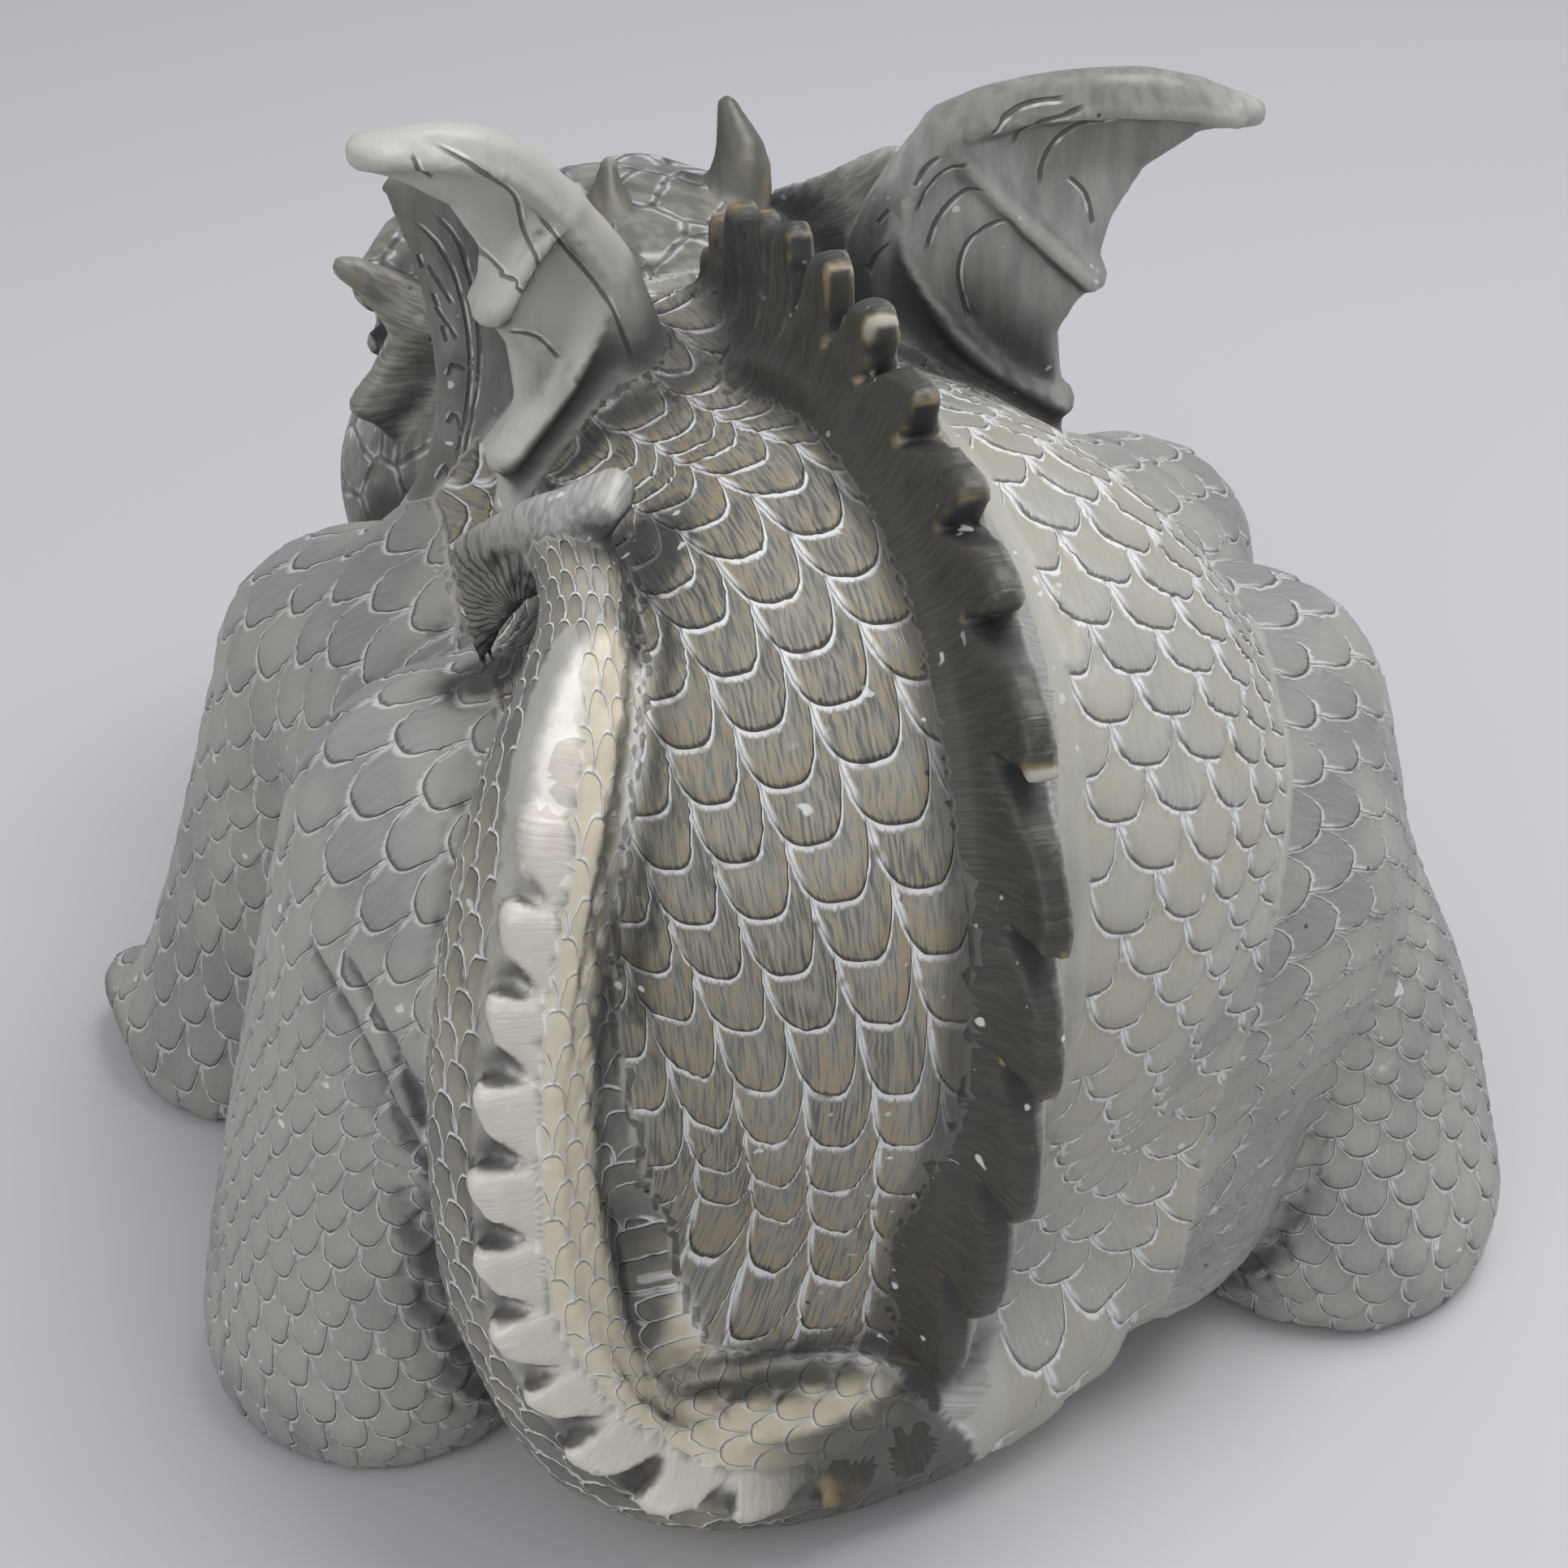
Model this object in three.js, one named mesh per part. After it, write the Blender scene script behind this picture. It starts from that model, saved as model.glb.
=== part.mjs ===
import * as THREE from 'three';

// Crouching dragon, cast in stone as one solid that stands on its own feet and belly.
// Millimetres, +Z up. The head looks along -Y, the left side is at +X, and the tail
// curls up over the left haunch.

// Driving dimensions
const HEIGHT = 320;             // floor to the top of the wings
const CREST_THICKNESS = 8;      // back crest at its edge
const CREST_FOOT = 22;          // back crest where it meets the skin
const WING_THICKNESS = 9;       // wing membranes
const RIB_DIAMETER = 7;         // finger bones on the wings
const TAIL_PLATE_THICKNESS = 7; // leaf plates along the tail
const TAIL_TIP_THICKNESS = 11;  // arrowhead at the end of the tail
const EAR_THICKNESS = 8;        // webbed ear fans
const HORN_DIAMETER = 25;       // the two head horns at the skull
const CLAW_DIAMETER = 11;       // claws at the toes
const EDGE_ROUNDING = 2;        // worn edges of plates and fans
const SAMPLING = 3.7;           // spacing of the points that the surface is read at
const TRIANGLES = 9400;         // faces kept on the finished solid

// The free form is laid out in hundredths of the height, and UNIT turns them into millimetres.
const UNIT = HEIGHT / 100;
const share = (millimetres) => millimetres / UNIT;
const FLOOR = 0;
const STEPS = 4;                // straight pieces in each span of a curve
const CLEAR = 9;                // past this a sheet or ridge is only roughly measured
const SHEET_MARGIN = 6;         // room round a sheet's outline for its bow and thickness
const WIDEST_BLEND = 8;         // no two forms melt together over more than this

// Curves and frames

const vector = ([x, y, z]) => new THREE.Vector3(x, y, z);
const mirror = ([x, ...rest], centre = 0) => [2 * centre - x, ...rest];

function sampled(rows) {
  const curve = new THREE.CatmullRomCurve3(rows.map(vector), false, 'catmullrom', 0.5);
  return curve.getPoints(STEPS * (rows.length - 1));
}

function path(rows) {
  const points = sampled(rows);
  const lengths = [0];
  points.slice(1).forEach((point, i) => lengths.push(lengths[i] + point.distanceTo(points[i])));
  return { points, lengths };
}

// Place along a span that is closest to a point, from 0 at its start to 1 at its end
function closest(a, b, x, y, z) {
  const ex = b.x - a.x, ey = b.y - a.y, ez = b.z - a.z;
  const dot = (x - a.x) * ex + (y - a.y) * ey + (z - a.z) * ez;
  return Math.min(1, Math.max(0, dot / (ex * ex + ey * ey + ez * ez)));
}

function gapTo(a, b, t, x, y, z) {
  return Math.hypot(x - a.x - t * (b.x - a.x), y - a.y - t * (b.y - a.y), z - a.z - t * (b.z - a.z));
}

// Signed distance from a point to a closed outline in a plane, negative inside
function outlineDistance(outline, u, v) {
  let gap = Infinity;
  let sign = 1;
  for (let i = 0, j = outline.length - 1; i < outline.length; j = i++) {
    const [x0, y0] = outline[j];
    const [x1, y1] = outline[i];
    const ex = x1 - x0, ey = y1 - y0, wx = u - x0, wy = v - y0;
    const t = Math.min(1, Math.max(0, (wx * ex + wy * ey) / (ex * ex + ey * ey)));
    gap = Math.min(gap, (wx - ex * t) ** 2 + (wy - ey * t) ** 2);
    const above = v >= y0, below = v < y1, left = ex * wy > ey * wx;
    if ((above && below && left) || (!above && !below && !left)) sign = -sign;
  }
  return sign * Math.sqrt(gap);
}

function slab(flat, side) {
  const edge = share(EDGE_ROUNDING);
  const a = flat + edge, b = side + edge;
  return Math.hypot(Math.max(a, 0), Math.max(b, 0)) + Math.min(Math.max(a, b), 0) - edge;
}

function boxAround(points, margin) {
  return new THREE.Box3().setFromPoints(points).expandByScalar(margin);
}

// Forms: each has a box, a distance and the width of its blend into what it meets

// Round limb along a curve, with rows of x, y, z and radius
function limb(blend, rows) {
  const run = path(rows);
  const radii = sampled(rows.map((row) => [row[3], 0, 0])).map((point) => point.x);
  const { points } = run;
  const distance = (x, y, z) => {
    let best = Infinity;
    for (let i = 0; i + 1 < points.length; i++) {
      const t = closest(points[i], points[i + 1], x, y, z);
      const gap = gapTo(points[i], points[i + 1], t, x, y, z);
      best = Math.min(best, gap - radii[i] - t * (radii[i + 1] - radii[i]));
    }
    return best;
  };
  return { blend, distance, box: boxAround(points, Math.max(...radii)) };
}

// Rounded mass with a radius for each axis, turned about the vertical
function mass(blend, centre, radii, turn = 0) {
  const cos = Math.cos(THREE.MathUtils.degToRad(turn));
  const sin = Math.sin(THREE.MathUtils.degToRad(turn));
  const distance = (px, py, pz) => {
    const dx = px - centre[0], dy = py - centre[1];
    const x = (cos * dx + sin * dy) / radii[0];
    const y = (cos * dy - sin * dx) / radii[1];
    const z = (pz - centre[2]) / radii[2];
    const near = Math.hypot(x, y, z);
    const slope = Math.hypot(x / radii[0], y / radii[1], z / radii[2]);
    return slope < 1e-6 ? -Math.min(...radii) : near * (near - 1) / slope;
  };
  return { blend, distance, box: boxAround([vector(centre)], Math.max(...radii)) };
}

// Sheet cut to an outline, standing on a turned plane and bowed by a rule
function sheet(blend, { origin, along, up, outline, thickness, bow = () => 0 }) {
  const o = vector(origin);
  const u = vector(along).normalize();
  const v = vector(up).addScaledVector(u, -vector(up).dot(u)).normalize();
  const n = u.clone().cross(v);
  const corners = outline.map(([a, b]) => o.clone().addScaledVector(u, a).addScaledVector(v, b));
  const distance = (x, y, z) => {
    const dx = x - o.x, dy = y - o.y, dz = z - o.z;
    const a = dx * u.x + dy * u.y + dz * u.z;
    const b = dx * v.x + dy * v.y + dz * v.z;
    const c = dx * n.x + dy * n.y + dz * n.z - bow(a, b);
    if (Math.abs(c) > CLEAR) return Math.abs(c) - share(thickness);
    return slab(outlineDistance(outline, a, b), Math.abs(c) - share(thickness) / 2);
  };
  return { blend, distance, box: boxAround(corners, SHEET_MARGIN) };
}

// Toothed ridge that stands along a curve, with rows of x, y, z and the way it leans
function ridge(blend, rows, outline, halfThickness) {
  const run = path(rows);
  const lean = sampled(rows.map((row) => row.slice(3)));
  const { points, lengths } = run;
  const reach = Math.max(...outline.map(([, v]) => v));
  const distance = (x, y, z) => {
    let span = 0;
    let gap = Infinity;
    for (let i = 0; i + 1 < points.length; i++) {
      const here = gapTo(points[i], points[i + 1], closest(points[i], points[i + 1], x, y, z), x, y, z);
      if (here < gap) [span, gap] = [i, here];
    }
    if (gap > 2 * reach) return gap - reach;
    const t = closest(points[span], points[span + 1], x, y, z);
    const tangent = points[span + 1].clone().sub(points[span]).normalize();
    const n = lean[span].clone().lerp(lean[span + 1], t);
    n.addScaledVector(tangent, -n.dot(tangent)).normalize();
    const off = new THREE.Vector3(x, y, z).sub(points[span].clone().lerp(points[span + 1], t));
    const s = lengths[span] + t * (lengths[span + 1] - lengths[span]) + off.dot(tangent);
    const v = off.dot(n);
    const w = Math.abs(off.dot(tangent.cross(n)));
    return slab(outlineDistance(outline, s, v), w - halfThickness(v));
  };
  return { blend, distance, box: boxAround(points, reach + 2) };
}

// Body: rump, back, shoulders, neck and the belly that rests on the floor

const MIDDLE = -2;              // the body's centre plane, a little to the right of the tail's curl
const flip = (row) => mirror(row, MIDDLE);

const body = [
  mass(0, [-3, 22, 51], [30, 31, 32]),
  mass(6, [-3, 22.5, 27], [25, 24, 27]),
  mass(8, [-1, -5, 52], [27, 27, 27.5]),
  mass(8, [-1, 2, 24], [30, 30, 30]),
  limb(8, [[0, -16, 52, 20], [1, -26, 52, 19], [3, -36, 54, 18]]),
  limb(8, [[0, -20, 34, 20], [0, -19, 20, 19], [0, -16, 8, 18]]),
];

// Hind legs: a round haunch and a lower leg like a fat column, with three toes

function hindLeg(side) {
  const at = side > 0 ? (row) => row : flip;
  const stray = side > 0 ? 0 : 2.5;
  const toes = [[29.5, 1], [37, -1], [44.5, 1.5]];
  return [
    mass(3.5, at([19.5, 20, 41]), [22.5, 23, 23.5]),
    mass(5, at([16, 24, 20]), [18.5, 19, 20]),
    limb(2.6, [
      [28.5, 18, 51, 13],
      [31.5, 18, 37, 13.5],
      [35.5 + stray, 18.5 + stray / 2, 20, 14],
      [37.5 + stray, 18.5 + 2 * stray, 5, 15],
    ].map(at)),
    ...toes.flatMap(([x, y]) => toe(at, [x + stray, y])),
  ];
}

// Front legs: elbow high beside the wing, wide paw with four toes

function frontLeg(side) {
  const at = side > 0 ? (row) => row : flip;
  const toes = [[37, -33.5], [43.2, -35.5], [49.4, -34.5], [54.4, -30]];
  return [
    mass(5, at([24, -8, 44]), [16, 17, 18]),
    limb(2.6, [
      [32, -16, 45.5, 12.2],
      [36, -18.5, 33, 11.2],
      [40.5, -20.5, 18, 11],
      [44, -22, 6, 11.5],
    ].map(at)),
    mass(4, at([45, -24, 3]), [11.5, 11.5, 9]),
    ...toes.flatMap((place) => toe(at, place)),
  ];
}

// One toe: a plump finger over the place given, with a claw that ends on the floor

function toe(at, [x, y]) {
  const claw = share(CLAW_DIAMETER) / 2;
  return [
    limb(0.9, [[x - 0.8, y + 9, 6.2, 3.4], [x, y + 2, 5.2, 3.7], [x, y, 3.4, 3.5]].map(at)),
    limb(0.5, [
      [x, y - 2.2, 4, claw],
      [x + 0.2, y - 5.4, 2.6, claw * 0.8],
      [x + 0.3, y - 7.6, 0.8, claw * 0.35],
    ].map(at)),
  ];
}

// Head: broad skull with jowls, snout, jaw, brows, eyes, horns and webbed ears

const LOOK = 18;                // degrees that the head is turned to its left
const HEAD = [4, -42, 57];

// A place on the head, from its own side, front and height about the skull's centre
function onHead([side, front, height, ...rest]) {
  const turn = THREE.MathUtils.degToRad(LOOK);
  const x = HEAD[0] + side * Math.cos(turn) + front * Math.sin(turn);
  const y = HEAD[1] + side * Math.sin(turn) - front * Math.cos(turn);
  return [x, y, HEAD[2] + height, ...rest];
}

function face(side) {
  const at = (row) => onHead([side * row[0], ...row.slice(1)]);
  return [
    mass(5, at([16, 0, -8]), [11, 14, 13], LOOK),
    limb(1.6, [[4.6, 22, -1.5, 4], [5.2, 28, -3, 3.6]].map(at)),
    mass(0.8, at([11.5, 15.5, 4]), [5.2, 5.2, 5.2]),
    limb(1.8, [[5.5, 18.5, 5.5, 2.2], [11, 17.5, 9.6, 3], [17.5, 12.5, 8.5, 2.6]].map(at)),
    limb(1, [[9.5, 20.5, 0.6, 1.2], [14, 18.5, 0.4, 1.4], [17.5, 14, 2, 1.2]].map(at)),
  ];
}

const skull = [
  mass(6, HEAD, [21, 21, 19], LOOK),
  limb(5, [[0, 8, -4, 13], [0, 16, -7, 11], [0, 23, -8.5, 9.6]].map(onHead)),
  limb(1.4, [[0, 8, -16, 11], [0, 15, -18, 8.6], [0, 20.5, -18, 6.8]].map(onHead)),
];

// Curved horns, with the stubs between them on the brow and the nape

const horn = (base, middle, tip, size) => limb(1.6, [
  [...base, size / 2],
  [...middle, size * 0.33],
  [...tip, size * 0.13],
]);

const HORN = share(HORN_DIAMETER);
const horns = [
  horn([-5.5, -41, 69], [-8, -43, 75.5], [-7.4, -45.5, 80.6], HORN),
  horn([15, -33, 69], [18, -35, 76], [17.6, -37.5, 81.6], HORN),
  horn([5, -36, 70], [5.2, -37.5, 75], [4.6, -40, 78.5], HORN * 0.72),
  horn([5.5, -30, 68], [5.6, -30, 71.5], [5.4, -30.5, 74], HORN * 0.5),
];

// Ear: three spines with a scalloped web between them

function ear(root, across, rise) {
  const outline = [[0, -7], [3.5, -10.5], [7.5, -12.5], [6.4, -6.5], [11.2, -3],
    [7.6, 3], [11.2, 11], [5.5, 8.5], [0, 7]];
  const spine = (end, size) => {
    const start = vector(root);
    const stop = start.clone().addScaledVector(vector(across).normalize(), end[0])
      .addScaledVector(vector(rise).normalize(), end[1]);
    return limb(0.8, [[...start, size], [...stop, size * 0.45]]);
  };
  return [
    sheet(1.5, { origin: root, along: across, up: rise, outline, thickness: EAR_THICKNESS }),
    spine([10.4, 10.2], 2.2),
    spine([10.4, -2.8], 2),
    spine([7, -11.6], 1.8),
  ];
}

const ears = [
  ...ear([18.2, -33.5, 63.5], [0.85, 0.1, 0.1], [0.05, 0, 1]),
  ...ear([-12.5, -47, 64], [-0.8, 0.35, 0.1], [-0.05, 0, 1]),
];

// Wings: each is a bowed rear panel and a front panel that meet along the inner edge

const cupped = (height, middle, span) => (u) => height * (1 - ((u - middle) / span) ** 2);

function wing(side, { root, sweep, outline, bones, front }) {
  const turn = THREE.MathUtils.degToRad(sweep);
  const along = [side * Math.cos(turn), Math.sin(turn), 0];
  const bow = cupped(side * -1.6, 10, 12);
  const origin = [...root, 0];
  const place = ([u, z, size]) => {
    const across = vector(along).cross(new THREE.Vector3(0, 0, 1)).multiplyScalar(bow(u));
    return [root[0] + along[0] * u + across.x, root[1] + along[1] * u + across.y, z, size];
  };
  const bone = share(RIB_DIAMETER) / 2;
  return [
    sheet(3, { origin, along, up: [0, 0, 1], outline, thickness: WING_THICKNESS, bow }),
    ...bones.map((rows) => limb(1, rows.map(([u, z, size]) => place([u, z, size * bone])))),
    sheet(7, { origin: [...front.root, 0], along: front.along, up: [0, 0, 1], outline: front.outline,
      thickness: WING_THICKNESS, bow: cupped(side * 1.5, 8, 9) }),
  ];
}

const leftWing = wing(1, {
  root: [10, -5],
  sweep: 17,
  outline: [
    [-1, 66], [-1, 78], [2, 85.5], [5.3, 90.7], [8.3, 95], [13, 99], [18, 100], [21, 99.5], [21.3, 97.8],
    [18.5, 96.5], [14.5, 94], [12.3, 90], [12.4, 85], [10.6, 81.5], [10.3, 77], [12.4, 72.8], [11, 66], [8, 60],
  ],
  bones: [
    [[0, 76, 1.4], [3, 86.5, 1.3], [8.5, 94.5, 1.3], [14, 98.2, 1.2], [20.6, 98.8, 0.9]],
    [[6, 92, 1.2], [9, 90, 1], [12.2, 85.4, 0.9]],
    [[2.5, 86, 1.2], [5.5, 80, 1], [12, 73, 0.9]],
  ],
  front: {
    root: [11, -4],
    along: [0.82, -0.57, 0],
    outline: [[-2, 60], [-1, 79], [3, 87], [8, 91], [15, 92], [18.6, 90], [17, 85], [16, 80],
      [15.5, 73], [15.7, 69], [16.4, 62.6], [17.5, 54], [4, 50]],
  },
});

const rightWing = wing(-1, {
  root: [-9, -4],
  sweep: 20,
  outline: [
    [-1, 66], [-1.5, 78], [-0.4, 85], [2.2, 91.5], [6, 96.5], [12, 99.4], [19, 100], [24, 99.2], [28.3, 97.2],
    [28, 95.8], [24.3, 95.4], [20.4, 93], [18.3, 89], [17.2, 84], [14.8, 79.5], [15.4, 73.4], [14, 67], [9, 60],
  ],
  bones: [
    [[-0.4, 76, 1.4], [0.6, 86, 1.3], [5.5, 95, 1.3], [12, 98, 1.2], [20, 98.6, 1.1], [28, 96.5, 0.8]],
    [[5.8, 95.4, 1.3], [11, 90, 1.1], [17, 84.2, 0.9]],
    [[5.8, 95.4, 1.3], [2.6, 88.3, 1.1], [4.2, 83.5, 1], [9, 77.5, 0.9], [15.2, 73.6, 0.8]],
  ],
  front: {
    root: [-10, -4],
    along: [-0.82, -0.57, 0],
    outline: [[-2, 60], [-1, 79], [3, 87], [8, 91], [15, 92], [18.6, 90], [17, 85], [16, 80],
      [15.5, 73], [15.7, 69], [16.4, 62.6], [17.5, 54], [4, 50]],
  },
});

// Teeth from rows of the tip's place along the ridge, its height and the notch before it

function teeth(rows, foot) {
  const outline = [[rows[0][0] - 5, -foot], [rows[0][0] - 4, 0]];
  rows.forEach(([tip, height, notch], i) => {
    const previous = i ? rows[i - 1][0] : tip - 4;
    const gap = tip - previous;
    const start = previous + gap * (i ? 0.16 : 0);
    outline.push([start, notch]);
    outline.push([start + gap * 0.34, notch + (height - notch) * 0.66]);
    outline.push([tip - gap * 0.12, height]);
    outline.push([tip, height * 0.97]);
  });
  const [end] = rows[rows.length - 1];
  outline.push([end + 2, 0], [end + 3, -foot]);
  return outline;
}

const wedge = (foot, edge, height) => (v) => {
  const rise = Math.min(1, Math.max(0, v / height));
  return share(foot + (edge - foot) * Math.sqrt(rise)) / 2;
};

// Back crest: slender fingers on the neck, then broad teeth down to the tail

const crest = ridge(1.6, [
  [0, -18, 68, 0, -0.5, 1], [0, -9, 74.5, 0, -0.4, 1], [-0.5, 0, 79, 0, -0.3, 1],
  [-1, 9, 82.5, 0, -0.1, 1], [-2, 18, 84.5, 0, 0.1, 1], [-3, 26, 84, 0, 0.3, 1],
  [-4, 34, 81.5, -0.05, 0.5, 1], [-4.5, 41, 77, -0.1, 1, 1], [-4.5, 46.5, 71, -0.15, 1, 0.7],
  [-4.3, 50, 63, -0.2, 1, 0.4], [-3.8, 52, 54, -0.2, 1, 0.1], [-3.2, 51.5, 44, -0.2, 1, -0.1],
  [-2.6, 49.5, 34, -0.2, 1, -0.3], [-1.8, 46, 24, -0.1, 1, -0.3], [-1.2, 43.5, 15, 0, 1, -0.2],
  [1, 43, 8, 0.1, 1, -0.1],
], teeth([
  [3, 7, 2], [7.5, 9.5, 2.6], [13, 11, 2.8], [19, 11, 3], [25.4, 10.8, 3.4], [32, 10.2, 3.8], [38.8, 9.4, 4],
  [45, 8.4, 4.4], [51.5, 7, 4.5], [58.5, 6.6, 4.4], [65, 6.5, 4.3], [74, 6.5, 4.2], [84.5, 6.5, 4.2],
  [94, 6.3, 4], [105.5, 6, 4], [118, 5.6, 3.8], [129, 5, 3.4],
], 6), wedge(CREST_FOOT, CREST_THICKNESS, 5));

// Tail: along the floor behind the rump, then up the left of the back to an arrowhead

const TAIL = [
  [-9, 35, 12, 12], [-1, 40.4, 8.4, 8.6], [8, 42.8, 7.4, 7.2], [16, 42.8, 8, 6.6], [22.5, 41.4, 11, 6.4],
  [26.2, 41, 19, 6.4], [28.3, 41, 30, 6.3], [28.3, 40.5, 43, 6.1], [26.6, 38.5, 55, 5.8],
  [24, 36, 64.5, 5.2], [21.3, 32.5, 71.5, 4.2], [19.5, 27.5, 75, 3.3], [19.6, 22.5, 77, 2.8],
];
const tail = [limb(1.6, TAIL)];

// Leaf plates that run on from the crest along the outside of the tail

const tailPlates = ridge(1.2, [
  [1, 43.6, 8, 0.1, 1, -0.3], [8, 45.4, 8, 0.2, 1, -0.5], [15.5, 45.7, 9, 0.4, 1, -0.5],
  [21, 44.8, 12.5, 0.7, 0.9, -0.4], [24, 44, 20, 0.85, 0.6, -0.2], [25.5, 43.8, 31, 0.9, 0.5, -0.1],
  [25.5, 43.3, 43, 0.9, 0.5, 0], [24, 41.3, 55, 0.9, 0.5, 0.1], [21.7, 38.8, 64.5, 0.9, 0.5, 0.2],
  [19.8, 34.8, 71.5, 0.9, 0.4, 0.4],
], teeth([
  [4, 5.6, 3.6], [9.5, 6.2, 4], [15, 6.6, 4.4], [20.5, 6.8, 4.6], [26, 6.8, 4.6], [32, 6.8, 4.6],
  [38, 6.8, 4.6], [44, 6.8, 4.6], [50, 6.8, 4.6], [56, 6.8, 4.6], [62, 6.5, 4.4], [68, 5.8, 3.8],
  [74, 5, 3.2], [79, 4, 2.4],
], 4), wedge(TAIL_PLATE_THICKNESS + 6, TAIL_PLATE_THICKNESS, 6));

// Arrowhead, lying on the back with a point and two barbs

const arrowhead = sheet(1.2, {
  origin: [20, 22, 76.5],
  along: [0.82, -0.5, 0.02],
  up: [-0.1, 0.3, 1],
  outline: [[-3.4, -2], [-3, 4.5], [1.5, 2.6], [5.5, 2.2], [9.8, 0.5],
    [8.9, -4], [9, -10.5], [4.8, -6], [1, -3]],
  thickness: TAIL_TIP_THICKNESS,
});

const forms = [
  ...body, ...hindLeg(1), ...hindLeg(-1), ...frontLeg(1), ...frontLeg(-1), ...skull, ...face(1), ...face(-1),
  ...ears, ...horns, ...leftWing, ...rightWing, crest, ...tail, tailPlates, arrowhead,
];

// Distance to the whole form: each form is blended into those before it

function blended(a, b, width) {
  const overlap = Math.max(width - Math.abs(a - b), 0);
  return Math.min(a, b) - (width ? overlap * overlap / (4 * width) : 0);
}

function distanceAt(near, x, y, z) {
  let distance = FAR;
  for (const form of near) distance = blended(distance, form.distance(x, y, z), form.blend);
  return Math.max(distance, FLOOR - z);
}

// Surface of the form, read on a lattice of tetrahedra so that it always closes

const CORNERS = [[0, 0, 0], [1, 0, 0], [0, 1, 0], [1, 1, 0], [0, 0, 1], [1, 0, 1], [0, 1, 1], [1, 1, 1]];
const TETRAHEDRA = [[0, 1, 3, 7], [0, 3, 2, 7], [0, 2, 6, 7], [0, 6, 4, 7], [0, 4, 5, 7], [0, 5, 1, 7]];
const BLOCK = 6;                // lattice cells along one side of a block that is tested as a whole
const REACH = 1.4;              // a block this many times its side from the surface is left unread
const FAR = 50;
const NEAREST = 0.03;           // a cut stays this share of its edge from the edge's ends

function readSurface() {
  const step = share(SAMPLING);
  const bounds = forms.reduce((box, form) => box.union(form.box), new THREE.Box3());
  bounds.min.z = FLOOR;
  bounds.expandByScalar(2.5 * step);
  const size = bounds.getSize(new THREE.Vector3()).divideScalar(step);
  const [nx, ny, nz] = [size.x, size.y, size.z].map((cells) => Math.ceil(cells / BLOCK) * BLOCK + 1);
  const values = new Float64Array(nx * ny * nz).fill(FAR);
  const index = (i, j, k) => i + nx * (j + ny * k);
  const position = (i, j, k) => [bounds.min.x + i * step, bounds.min.y + j * step, bounds.min.z + k * step];
  for (const [i, j, k] of places([0, 0, 0], [nx, ny, nz], BLOCK)) {
    const low = new THREE.Vector3(...position(i, j, k));
    const block = new THREE.Box3(low, low.clone().addScalar(BLOCK * step)).expandByScalar(WIDEST_BLEND / 2);
    const near = forms.filter((form) => form.box.intersectsBox(block));
    const middle = distanceAt(near, ...block.getCenter(new THREE.Vector3()).toArray());
    const calm = Math.abs(middle) > REACH * BLOCK * step;
    const end = [Math.min(nx, i + BLOCK), Math.min(ny, j + BLOCK), Math.min(nz, k + BLOCK)];
    for (const place of places([i, j, k], end)) {
      values[index(...place)] = calm ? middle : distanceAt(near, ...position(...place));
    }
  }
  return contour(values, [nx, ny, nz], index, position);
}

// Every place of the lattice from a start up to an end, in strides
function* places(start, end, stride = 1) {
  for (let k = start[2]; k < end[2]; k += stride) {
    for (let j = start[1]; j < end[1]; j += stride) {
      for (let i = start[0]; i < end[0]; i += stride) yield [i, j, k];
    }
  }
}

function contour(values, [nx, ny, nz], index, position) {
  const points = [];
  const faces = [];
  const found = new Map();
  const crossing = (p, q) => {
    const [a, b] = p[0] < q[0] ? [p, q] : [q, p];
    const key = a[0] * values.length + b[0];
    if (!found.has(key)) {
      const t = values[a[0]] / (values[a[0]] - values[b[0]]);
      const from = position(...a[1]);
      const to = position(...b[1]);
      found.set(key, points.length);
      const cut = Math.min(1 - NEAREST, Math.max(NEAREST, t));
      points.push(from.map((value, axis) => value + (to[axis] - value) * cut));
    }
    return found.get(key);
  };
  for (const [i, j, k] of places([0, 0, 0], [nx - 1, ny - 1, nz - 1])) {
    const cell = CORNERS.map(([a, b, c]) => [index(i + a, j + b, k + c), [i + a, j + b, k + c]]);
    const inside = cell.filter(([at]) => values[at] < 0).length;
    if (inside === 0 || inside === 8) continue;
    for (const tetrahedron of TETRAHEDRA) {
      const corners = tetrahedron.map((corner) => cell[corner]);
      const within = corners.filter(([at]) => values[at] < 0);
      const without = corners.filter(([at]) => values[at] >= 0);
      const edges = cutEdges(within, without);
      if (facesInward(edges)) edges.reverse();
      const ring = edges.map(([p, q]) => crossing(p, q));
      for (let turn = 2; turn < ring.length; turn++) faces.push([ring[0], ring[turn - 1], ring[turn]]);
    }
  }
  return { points, faces };
}

// Edges of a tetrahedron that the surface cuts, in order round the cut
function cutEdges(within, without) {
  if (within.length === 1) return without.map((q) => [within[0], q]);
  if (without.length === 1) return within.map((p) => [p, without[0]]);
  if (!within.length || !without.length) return [];
  const [p, q] = within;
  const [r, s] = without;
  return [[p, r], [p, s], [q, s], [q, r]];
}

function facesInward(edges) {
  if (!edges.length) return false;
  const corner = ([, place]) => new THREE.Vector3(...place);
  const middle = ([p, q]) => corner(p).add(corner(q));
  const [a, b, c] = edges.slice(0, 3).map(middle);
  const out = corner(edges[0][1]).sub(corner(edges[0][0]));
  return b.sub(a).cross(c.sub(a)).dot(out) < 0;
}

// Fewer faces, where the form is calm: edges are drawn together in order of the error
// that each would leave, measured against the planes of the faces that met there

const PLANE = 10;               // numbers in the sum of squared plane distances
const SLIVER = 0.002;           // weight of an edge's length, against long thin faces
const TURN_LIMIT = 0.35;        // least cosine between a face before and after
const DRIFT = 1.5;              // edge lengths that a joined corner may move from the edge's middle

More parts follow.
